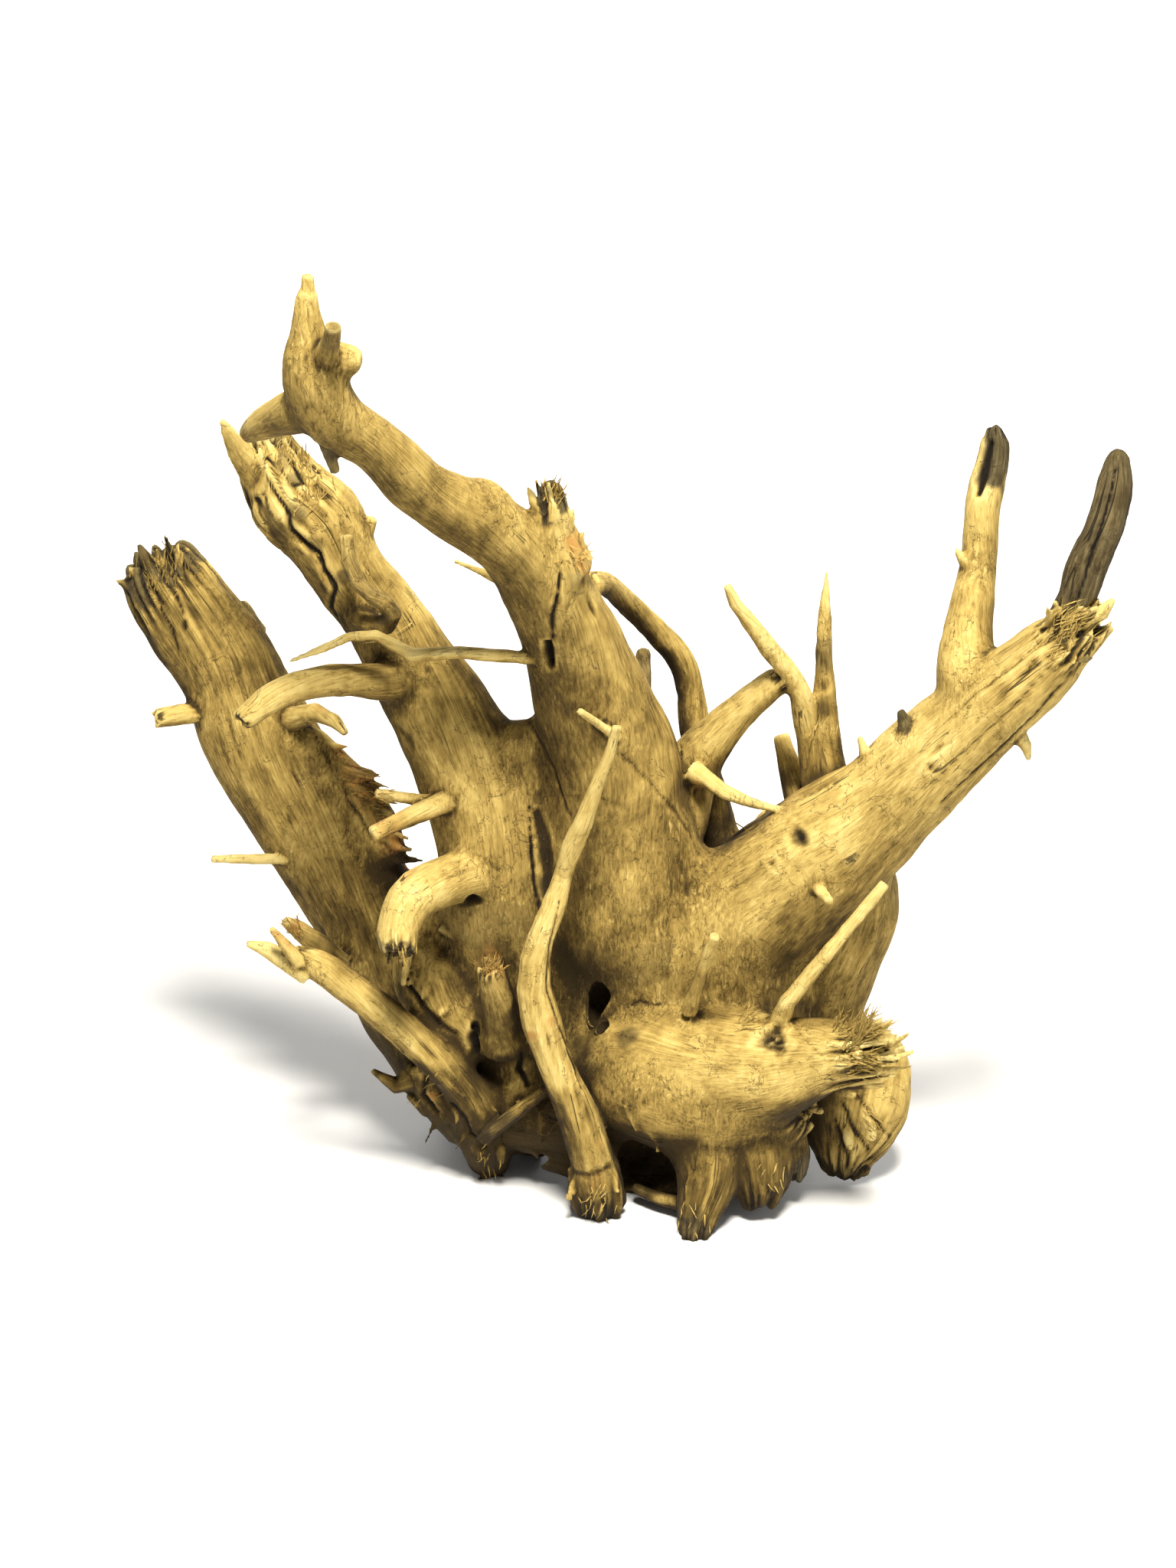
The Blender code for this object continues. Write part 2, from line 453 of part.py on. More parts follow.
def weathered(body):
    """Raise soft lumps and lengthwise ridges that run along the nearest limb."""
    places = vertex_places(body)
    _, _, offsets, along, thick = nearest_limb(places, limb_lines(ARMS | BRANCHES))
    depths = RELIEF * np.minimum(1.0, thick / FULL_RELIEF_RADIUS)
    normals = np.empty(len(body.data.vertices) * 3)
    body.data.vertex_normals.foreach_get("vector", normals)
    heights = []
    for place, offset, length in zip(places, offsets, along):
        lump = noise.noise(Vector(place) * LUMPS_PER_METRE)
        run = Vector((length, 0.0, length)) * RIDGE_STRETCH
        ridge = abs(noise.noise(Vector(offset) * RIDGES_PER_METRE + run))
        heights.append(LUMP_SHARE * lump - RIDGE_SHARE * ridge + RIDGE_MEAN)
    places += normals.reshape(-1, 3) * (depths * np.array(heights))[:, None]
    body.data.vertices.foreach_set("co", places.ravel())
    return body


def main_body():
    """Trunk, arms, branches and feet, blended in two steps from coarse to fine."""
    arms = [tube(name, seen_rows(rows), flat, 16, True) for name, (flat, rows) in ARMS.items()]
    backs = [tube(name, true_rows(rows), 1.0, 12, True) for name, rows in BACK_LIMBS.items()]
    body = fused(joined("corbo_root", arms + backs), BODY_VOXEL)
    softened(body, limb_lines(ARMS), BODY_JOINT, BODY_PASSES, BODY_SWELL)
    limbs = [tube(name, seen_rows(rows), flat, 12, True) for name, (flat, rows) in BRANCHES.items()]
    body = fused(joined("corbo_root", [body] + limbs), BRANCH_VOXEL)
    softened(body, limb_lines(ARMS | BRANCHES), BRANCH_JOINT, BRANCH_PASSES, BRANCH_SWELL)
    return weathered(body)


def cleft_cutters(body):
    """Four-sided cutters that follow the skin, laid on it along the lines of sight."""
    skin = BVHTree.FromObject(body, bpy.context.evaluated_depsgraph_get())
    cutters = []
    for name, (half_width, sink, route) in CLEFTS.items():
        rows = []
        for across, up in route:
            near, _ = sighted(across, up, -CUT_REACH)
            far, _ = sighted(across, up, CUT_REACH)
            sight = (far - near).normalized()
            hit, _, _, _ = skin.ray_cast(near, sight)
            if hit is not None:
                rows.append((hit + sight * sink * MM, half_width * MM))
        if len(rows) > 1:
            rows[0] = (rows[0][0], rows[0][1] * CUT_START_WIDTH)
            rows[-1] = (rows[-1][0], rows[-1][1] * CUT_END_WIDTH)
            cutters.append(tube("cut_" + name, rows, 1.0, 4))
    return cutters


def hollow_cutter():
    """The hollow under the stump, open to the ground between the feet."""
    shape = bmesh.new()
    bmesh.ops.create_icosphere(shape, subdivisions=2, radius=1.0)
    bmesh.ops.scale(shape, vec=HOLLOW_SIZE, verts=shape.verts)
    bmesh.ops.translate(shape, vec=HOLLOW_MIDDLE, verts=shape.verts)
    return as_object("cut_hollow", shape)


def splinter(name, foot, tip, radius):
    """A tapered splinter, rooted below its foot."""
    start, _ = sighted(*foot)
    end, _ = sighted(*tip)
    reach = end - start
    start = start - reach.normalized() * SPLINTER_SUNK
    middle = start.lerp(end, SPLINTER_SHOULDER)
    rows = [(start, radius * MM), (middle, radius * MM * SPLINTER_SHOULDER_WIDTH),
            (end, radius * MM * SPLINTER_TIP_WIDTH)]
    return tube(name, rows, 0.8, 6)


def boolean_all(body, others, operation):
    """Join or cut every object of a list in one exact Boolean."""
    group = bpy.data.collections.new(operation)
    bpy.context.scene.collection.children.link(group)
    for other in others:
        group.objects.link(other)
    applied(body, "BOOLEAN", operation=operation, operand_type="COLLECTION",
            collection=group, solver="EXACT")
    for other in others:
        bpy.data.objects.remove(other)
    bpy.data.collections.remove(group)
    return body


def cut_flat(body):
    """Cut the feet level with the ground and close them."""
    shape = bmesh.new()
    shape.from_mesh(body.data)
    cut = bmesh.ops.bisect_plane(shape, geom=shape.verts[:] + shape.edges[:] + shape.faces[:],
                                 dist=0.00001, plane_co=(0, 0, 0), plane_no=(0, 0, -1), clear_outer=True)
    rim = [piece for piece in cut["geom_cut"] if isinstance(piece, bmesh.types.BMEdge)]
    bmesh.ops.holes_fill(shape, edges=rim, sides=0)
    bmesh.ops.triangulate(shape, faces=shape.faces)
    shape.to_mesh(body.data)
    shape.free()
    return body


def centred(body):
    """Put the origin under the middle of the box."""
    places = np.empty(len(body.data.vertices) * 3)
    body.data.vertices.foreach_get("co", places)
    places = places.reshape(-1, 3)
    middle = (places.min(axis=0) + places.max(axis=0)) / 2
    places[:, 0] -= middle[0]
    places[:, 1] -= middle[1]
    body.data.vertices.foreach_set("co", places.ravel())
    return middle


def wood():
    """Dry ochre root wood, rough and without gloss."""
    material = bpy.data.materials.new("weathered_root_wood")
    material.use_nodes = True
    shader = material.node_tree.nodes["Principled BSDF"]
    shader.inputs["Base Color"].default_value = WOOD_COLOUR
    shader.inputs["Roughness"].default_value = WOOD_ROUGHNESS
    shader.inputs["Metallic"].default_value = 0.0
    return material


def build():
    for old in list(bpy.data.objects):
        bpy.data.objects.remove(old)
    body = main_body()
    cutters = cleft_cutters(body)
    ratio = BODY_TRIANGLES / (2 * len(body.data.polygons))
    applied(body, "DECIMATE", ratio=ratio, use_collapse_triangulate=True)
    twigs = [tube(name, seen_rows(rows)) for name, rows in TWIGS.items()]
    for place, rows in SPLINTERS.items():
        twigs += [splinter(place, *row) for row in rows]
    boolean_all(body, twigs, "UNION")
    boolean_all(body, cutters + [hollow_cutter()], "DIFFERENCE")
    cut_flat(body)
    outer_shell(body)
    middle = centred(body)
    body.data.materials.clear()
    body.data.materials.append(wood())
    group = bpy.data.collections.new("corbo_root")
    bpy.context.scene.collection.children.link(group)
    for holder in list(body.users_collection):
        holder.objects.unlink(body)
    group.objects.link(body)
    return body, middle


root, box_middle = build()
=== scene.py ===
import math

import bmesh
import bpy
import numpy as np
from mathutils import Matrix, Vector, noise
from mathutils.bvhtree import BVHTree
from mathutils.kdtree import KDTree


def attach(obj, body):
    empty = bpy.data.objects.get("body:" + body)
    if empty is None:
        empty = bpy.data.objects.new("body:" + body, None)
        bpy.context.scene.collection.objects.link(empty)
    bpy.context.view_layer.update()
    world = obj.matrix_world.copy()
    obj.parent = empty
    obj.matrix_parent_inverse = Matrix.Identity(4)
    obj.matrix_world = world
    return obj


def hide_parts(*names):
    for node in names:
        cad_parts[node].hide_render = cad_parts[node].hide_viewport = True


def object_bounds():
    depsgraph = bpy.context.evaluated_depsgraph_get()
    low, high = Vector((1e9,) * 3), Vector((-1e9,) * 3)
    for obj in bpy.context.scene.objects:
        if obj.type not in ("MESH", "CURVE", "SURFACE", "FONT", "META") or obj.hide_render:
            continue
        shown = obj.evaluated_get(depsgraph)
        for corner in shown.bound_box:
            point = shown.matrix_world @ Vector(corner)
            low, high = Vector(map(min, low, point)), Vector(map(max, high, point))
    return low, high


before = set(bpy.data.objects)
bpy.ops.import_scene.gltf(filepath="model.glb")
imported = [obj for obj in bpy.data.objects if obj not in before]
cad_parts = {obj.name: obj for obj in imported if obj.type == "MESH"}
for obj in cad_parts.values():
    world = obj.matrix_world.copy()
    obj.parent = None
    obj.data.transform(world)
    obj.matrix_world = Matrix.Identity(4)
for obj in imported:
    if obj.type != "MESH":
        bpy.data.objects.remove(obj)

cad_low, cad_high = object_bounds()

# The studio: the camera stands 1.4 m off and 20 degrees above level, as for the photo. A pale floor
# sweeps up behind; a soft key light is high up in front, a dim fill on the right, one light behind,
# and one washes the sweep.
mm = 0.001
sight_tilt = math.radians(20.0)
sight_distance = 1.400
stump_zero = Vector((0.01256, 0.00939, 0.0))     # the routes' zero, from the middle of the box
plane_foot = stump_zero + Vector((0.0, -0.090, 0.0))
eye_across, eye_up = -0.016, 0.295
plane_height = 1.024                             # what the picture's long side takes in
plane_up = Vector((0.0, math.sin(sight_tilt), math.cos(sight_tilt)))
sight = Vector((0.0, math.cos(sight_tilt), -math.sin(sight_tilt)))
eye = plane_foot + Vector((eye_across, 0.0, 0.0)) + eye_up * plane_up - sight_distance * sight


def placed(name, data):
    """Put a camera, light, mesh or curve into the scene."""
    holder = bpy.data.objects.new(name, data)
    bpy.context.scene.collection.objects.link(holder)
    return holder


sensor_width = 36.0                              # in millimetres
camera_data = bpy.data.cameras.new("camera")
camera_data.sensor_width = sensor_width
camera_data.lens = sensor_width * sight_distance / plane_height
camera_data.clip_start = 0.05
camera = placed("camera", camera_data)
camera.location = eye
camera.rotation_mode = "QUATERNION"
camera.rotation_quaternion = sight.to_track_quat("-Z", "Y")
bpy.context.scene.camera = camera

floor_half, sweep_height, sweep_round = 14.0, 7.0, 3.0
floor_shape = bmesh.new()
bmesh.ops.create_grid(floor_shape, x_segments=1, y_segments=1, size=floor_half)
bmesh.ops.translate(floor_shape, vec=(0.0, -floor_half / 2, 0.0), verts=floor_shape.verts)
far_edge = [edge for edge in floor_shape.edges if min(vert.co.y for vert in edge.verts) > 0.0]
raised = bmesh.ops.extrude_edge_only(floor_shape, edges=far_edge)["geom"]
raised = [part for part in raised if isinstance(part, bmesh.types.BMVert)]
bmesh.ops.translate(floor_shape, vec=(0.0, 0.0, sweep_height), verts=raised)
bmesh.ops.bevel(floor_shape, geom=far_edge, offset=sweep_round, segments=16, profile=0.5,
                affect="EDGES", material=-1)
floor_mesh = bpy.data.meshes.new("floor")
floor_shape.to_mesh(floor_mesh)
floor_shape.free()
floor_mesh.shade_smooth()
floor_paint = bpy.data.materials.new("floor")
floor_paint.use_nodes = True
floor_shader = floor_paint.node_tree.nodes["Principled BSDF"]
floor_shader.inputs["Base Color"].default_value = (0.86, 0.86, 0.85, 1.0)
floor_shader.inputs["Roughness"].default_value = 0.9
floor_mesh.materials.append(floor_paint)
floor = placed("floor", floor_mesh)


def studio_light(name, place, watts, size, colour, aim=(0.0, 0.0, 0.3)):
    """A square area light that faces the middle of the stump, or somewhere else."""
    lamp = bpy.data.lights.new(name, "AREA")
    lamp.energy = watts
    lamp.size = size
    lamp.color = colour
    holder = placed(name, lamp)
    holder.location = place
    holder.rotation_mode = "QUATERNION"
    holder.rotation_quaternion = (Vector(aim) - Vector(place)).to_track_quat("-Z", "Y")


studio_light("key", (0.10, -1.05, 2.5), 132.0, 0.6, (1.0, 0.96, 0.88))
studio_light("fill", (1.9, -1.5, 1.0), 7.0, 1.6, (1.0, 0.98, 0.95))
studio_light("back", (0.6, 1.9, 1.9), 20.0, 1.4, (1.0, 0.98, 0.95))
studio_light("floor wash", (0.0, 3.4, 3.6), 420.0, 4.0, (1.0, 1.0, 1.0), (0.0, 8.0, 0.0))
world = bpy.data.worlds.new("studio")
world.use_nodes = True
world.node_tree.nodes["Background"].inputs["Color"].default_value = (1.0, 1.0, 1.0, 1.0)
world.node_tree.nodes["Background"].inputs["Strength"].default_value = 0.22
bpy.context.scene.world = world
bpy.context.scene.view_settings.view_transform = "Standard"

# Trunk and arms: one piece of grown root wood. Each limb is a tapered tube along its route, and
# the routes are those of the solid. A row is (across, up, back, radius) in millimetres: across and
# up as seen on the measuring plane, back the true depth. The first value is depth over width.
arms = {
    "left_arm": (0.62, [
        (-299, 440, 96, 25), (-288, 421, 92, 31), (-254, 373, 84, 35), (-226, 317, 72, 35),
        (-193, 267, 60, 35), (-162, 217, 46, 35), (-131, 162, 30, 40), (-88, 105, 16, 42)]),
    "torn_edge": (0.45, [
        (-197, 330, 60, 8), (-186, 312, 56, 13), (-168, 290, 48, 15), (-154, 268, 38, 15),
        (-144, 246, 28, 12)]),
    "web": (0.60, [
        (-70, 282, 4, 30), (-62, 304, 2, 24), (-58, 322, 0, 17), (-57, 337, -2, 9)]),
    "spur_web": (0.60, [
        (-90, 226, 8, 20), (-110, 200, 10, 22), (-118, 172, 8, 22)]),
    "second_arm": (0.72, [
        (-228, 518, 34, 17), (-224, 508, 34, 20), (-212, 484, 33, 26), (-190, 464, 32, 28),
        (-173, 434, 28, 24), (-153, 407, 25, 25), (-135, 378, 20, 29), (-112, 342, 14, 34),
        (-90, 302, 8, 37), (-75, 257, 4, 40), (-65, 207, 4, 44), (-50, 157, 8, 43)]),
    "top_arm": (0.86, [
        (-199, 592, -138, 12), (-197, 577, -137, 18), (-194, 558, -135, 22), (-186, 540, -130, 22),
        (-170, 527, -122, 19), (-155, 517, -116, 18), (-122, 487, -98, 19), (-95, 472, -84, 22),
        (-66, 451, -66, 23), (-46, 427, -50, 28), (-30, 394, -32, 30), (-17, 357, -16, 36),
        (0, 307, -4, 43), (2, 257, 4, 50), (8, 197, 8, 55)]),
    "right_arm": (0.82, [
        (40, 172, 6, 50), (82, 205, 0, 49), (131, 245, -12, 43), (171, 275, -22, 37),
        (210, 312, -34, 31), (250, 349, -46, 27), (285, 379, -56, 24), (306, 398, -62, 18)]),
    "trunk_left": (0.90, [
        (-70, 217, 8, 42), (-55, 162, 14, 46), (-48, 110, 16, 44)]),
    "trunk_middle": (0.92, [
        (0, 267, 8, 46), (10, 207, 14, 54), (20, 152, 18, 56), (26, 105, 18, 52)]),
    "trunk_right": (0.88, [
        (75, 207, 8, 50), (85, 157, 14, 52), (90, 112, 18, 45), (84, 77, 16, 36)]),
    "trunk_far_right": (0.80, [
        (132, 252, -6, 30), (152, 222, 2, 33), (140, 177, 8, 33), (130, 132, 8, 31),
        (148, 96, -4, 26)]),
    "base_front": (0.80, [
        (-50, 62, -20, 17), (-8, 52, -22, 20), (32, 48, -28, 21), (72, 52, -34, 21)]),
    "nose": (0.92, [
        (-16, 112, 18, 38), (10, 112, -18, 44), (44, 110, -36, 44), (82, 110, -54, 38),
        (112, 113, -64, 31), (140, 119, -74, 23), (160, 119, -82, 17), (172, 118, -86, 12)]),
    "belly": (0.86, [
        (-4, 92, 10, 34), (20, 90, -22, 37), (56, 82, -36, 38), (94, 82, -44, 32), (122, 90, -50, 22)]),
    "sheet_edge": (0.75, [
        (-8, 316, -25, 9), (11, 295, -22, 12), (31, 272, -15, 13), (40, 257, -8, 15),
        (46, 238, 4, 20)]),
    "base_left": (0.90, [
        (-88, 90, 0, 26), (-56, 84, -14, 26), (-20, 80, -24, 25), (20, 80, -26, 26)]),
    "heel": (0.95, [
        (-88, 110, 14, 36), (-60, 92, 22, 36), (-10, 84, 30, 34), (50, 80, 30, 34)]),
    "skirt_wall": (0.72, [
        (0, 98, -46, 24), (30, 86, -60, 29), (60, 80, -65, 29), (86, 82, -61, 24),
        (106, 88, -54, 15)]),
}

# The side that the photo does not show, as (x, y, z, radius) in millimetres.
back_limbs = {
    "back_left_foot": [
        (-40, 34, 150, 42), (-66, 58, 92, 36), (-84, 80, 40, 24), (-92, 90, 10, 15), (-93, 92, -6, 12)],
    "back_right_foot": [
        (60, 40, 150, 44), (82, 70, 88, 34), (96, 92, 36, 22), (102, 100, 8, 14), (103, 101, -6, 12)],
    "back_root": [
        (-6, 30, 232, 40), (-10, 70, 258, 27), (-20, 104, 292, 20), (-34, 130, 330, 16),
        (-40, 140, 352, 14)],
    "back_stub": [(74, 30, 200, 34), (96, 72, 196, 21), (112, 104, 204, 15), (118, 120, 212, 13)],
    "back_spur": [(-76, 30, 196, 26), (-96, 66, 190, 14), (-108, 96, 204, 9), (-112, 112, 222, 6)],
    "back_rib": [(-44, 34, 270, 22), (-30, 56, 210, 26), (-10, 66, 150, 24), (6, 66, 90, 20)],
}

def sighted(across, up, back, radius=0.0):
    """Set a point seen on the measuring plane at its true depth."""
    seen = plane_foot + Vector((across * mm, 0.0, 0.0)) + up * mm * plane_up
    stretch = (stump_zero.y + back * mm - eye.y) / (seen.y - eye.y)
    return eye + stretch * (seen - eye), radius * mm * stretch


def final_mesh(holder):
    """The mesh of an object with its modifiers applied; the object itself goes."""
    graph = bpy.context.evaluated_depsgraph_get()
    mesh = bpy.data.meshes.new_from_object(holder.evaluated_get(graph))
    bpy.data.objects.remove(holder)
    return mesh


def tube(rows, flat, sides, smooth):
    """A tapered tube with closed ends along rows of (point, radius), flattened front to back."""
    curve = bpy.data.curves.new("limb", "CURVE")
    curve.dimensions = "3D"
    curve.bevel_depth = 1.0
    curve.bevel_resolution = sides // 2 - 2
    curve.use_fill_caps = True
    curve.resolution_u = 6                       # rings between two rows where it is smooth
    spline = curve.splines.new("BEZIER" if smooth else "POLY")
    nodes = spline.bezier_points if smooth else spline.points
    nodes.add(len(rows) - 1)
    for node, (point, radius) in zip(nodes, rows):
        place = (point.x, point.y / flat, point.z)
        node.co = place if smooth else (*place, 1.0)
        node.radius = radius
        if smooth:
            node.handle_left_type = node.handle_right_type = "AUTO"
    mesh = final_mesh(placed("limb", curve))
    shape = bmesh.new()
    shape.from_mesh(mesh)
    bmesh.ops.remove_doubles(shape, verts=shape.verts, dist=0.00001)
    bmesh.ops.scale(shape, vec=(1.0, flat, 1.0), verts=shape.verts)
    bmesh.ops.recalc_face_normals(shape, faces=shape.faces)
    shape.to_mesh(mesh)
    shape.free()
    return mesh


def finer(rows):
    """Two more rows between each pair, on the smooth curve through them all."""
    values = np.array([(*point, radius) for point, radius in rows])
    around = np.vstack((2 * values[0] - values[1], values, 2 * values[-1] - values[-2]))
    result = []
    for before, start, stop, after in zip(around, around[1:], around[2:], around[3:]):
        slope = stop - before
        bow = 2 * before - 5 * start + 4 * stop - after
        twist = 3 * start - before - 3 * stop + after
        for t in (0.0, 1 / 3, 2 / 3):
            result.append((2 * start + slope * t + bow * t ** 2 + twist * t ** 3) / 2)
    result.append(values[-1])
    return np.array(result)


def no_limb(count):
    """What is known of each place before a limb is found for it."""
    return {"gap": np.full(count, 1.0), "cross": np.zeros((count, 3)), "way": np.zeros((count, 3)),
            "along": np.zeros(count), "to_end": np.ones(count), "radius": np.full(count, 0.02),
            "number": np.zeros(count, dtype=np.int64)}


def nearest_limbs(at, search_reach=0.032):
    """For each place, its nearest limb and the next: gap, way, place across, length along, radius."""
    best = [no_limb(len(at)), no_limb(len(at))]
    for number, (flat, line) in enumerate(limbs.values()):
        spans = np.linalg.norm(np.diff(line[:, :3], axis=0), axis=1)
        ways = np.diff(line[:, :3], axis=0) / spans[:, None]
        leans = np.vstack((ways[:1], ways[:-1] + ways[1:], ways[-1:]))
        leans /= np.linalg.norm(leans, axis=1)[:, None]
        margin = line[:, 3].max() + search_reach
        low, high = line[:, :3].min(axis=0) - margin, line[:, :3].max(axis=0) + margin
        close = np.nonzero(((at > low) & (at < high)).all(axis=1))[0]
        if len(close) == 0:
            continue
        found = no_limb(len(close))
        found["number"][:] = number
        distance = np.full(len(close), 1.0)
        here = at[close]
        run = 0.0
        stretches = zip(line, line[1:], spans, ways, leans, leans[1:])
        for start, stop, span, way, lean, next_lean in stretches:
            reach = max(start[3], stop[3]) + search_reach
            low, high = np.minimum(start, stop)[:3] - reach, np.maximum(start, stop)[:3] + reach
            some = np.nonzero(((here > low) & (here < high)).all(axis=1))[0]
            share = np.clip((here[some] - start[:3]) @ way / span, 0.0, 1.0)
            offset = here[some] - start[:3] - share[:, None] * span * way
            radius = start[3] + (stop[3] - start[3]) * share
            gap = np.linalg.norm(offset / (1.0, flat, 1.0), axis=1) - radius
            far = np.linalg.norm(offset, axis=1)
            closer = far < distance[some]
            chosen = some[closer]
            distance[chosen] = far[closer]
            found["gap"][chosen] = gap[closer]
            way = lean + share[:, None] * (next_lean - lean)
            way /= np.linalg.norm(way, axis=1)[:, None]
            side = (offset - (offset * way).sum(axis=1)[:, None] * way) / (1.0, flat, 1.0)
            wide = np.linalg.norm(side, axis=1)
            length = line[:, 3].mean() * np.minimum(1.0, wide / (0.8 * radius))
            side *= (length / np.maximum(wide, 1e-6))[:, None]
            found["cross"][chosen] = side[closer]
            found["way"][chosen] = way[closer]
            found["along"][chosen] = run + share[closer] * span
            found["to_end"][chosen] = spans.sum() - run - share[closer] * span
            found["radius"][chosen] = radius[closer]
            run += span
        first_wins = found["gap"] < best[0]["gap"][close]
        second_wins = ~first_wins & (found["gap"] < best[1]["gap"][close])
        for key, values in found.items():
            best[1][key][close[first_wins]] = best[0][key][close[first_wins]]
            best[0][key][close[first_wins]] = values[first_wins]
            best[1][key][close[second_wins]] = values[second_wins]
    return best


def with_modifiers(mesh, *steps):
    """The mesh that a stack of modifiers makes, each given as its kind and settings. One that
    works only where limbs meet also says how wide a joint is, and its least share elsewhere."""
    holder = placed("stump", mesh)
    for kind, settings in steps:
        if "vertex_group" in settings:
            places = vertex_values(mesh.vertices, "co", 3)
            near, second = nearest_limbs(places)
            share = 1.0 - (second["gap"] - near["gap"]) / settings.pop("joint")
            share = np.clip(share, settings.pop("least"), 1.0)
            group = holder.vertex_groups.new(name=settings["vertex_group"])
            for number, weight in enumerate(share.tolist()):
                group.add([number], weight, "REPLACE")
        modifier = holder.modifiers.new(kind, kind)
        for key, value in settings.items():
            setattr(modifier, key, value)
    return final_mesh(holder)


def vertex_values(items, name, width):
    """Read one value of every vertex or edge into an array."""
    values = np.empty(len(items) * width, dtype=np.int64 if name == "vertices" else np.float64)
    items.foreach_get(name, values)
    return values.reshape(-1, width)


def fused(meshes, voxel):
    """Fuse loose shells into one skin."""
    shape = bmesh.new()
    for mesh in meshes:
        shape.from_mesh(mesh)
        bpy.data.meshes.remove(mesh)
    mesh = bpy.data.meshes.new("stump")
    shape.to_mesh(mesh)
    shape.free()
    return with_modifiers(mesh, ("REMESH", {"mode": "VOXEL", "voxel_size": voxel}))


def softened(mesh, joint, passes, swell):
    """Smooth the skin where limbs meet, and leave each limb its own width elsewhere."""
    return with_modifiers(
        mesh,
        ("SMOOTH", {"factor": 0.5, "iterations": passes, "vertex_group": "joint",
                    "joint": joint, "least": 0.10}),
        ("DISPLACE", {"strength": swell, "mid_level": 0.0}))


limbs = {}       # every limb's flattening and centre line, for the grain that runs along it
arm_tubes = []
for name, (flat, rows) in arms.items():
    limbs[name] = (flat, [sighted(*row) for row in rows])
for name, rows in back_limbs.items():
    limbs[name] = (1.0, [(stump_zero + Vector(row[:3]) * mm, row[3] * mm) for row in rows])
for name, (flat, rows) in limbs.items():
    arm_tubes.append(tube(rows, flat, sides=16, smooth=True))
    limbs[name] = (flat, finer(rows))
skin = softened(fused(arm_tubes, voxel=0.0045), joint=0.030, passes=34, swell=0.0012)

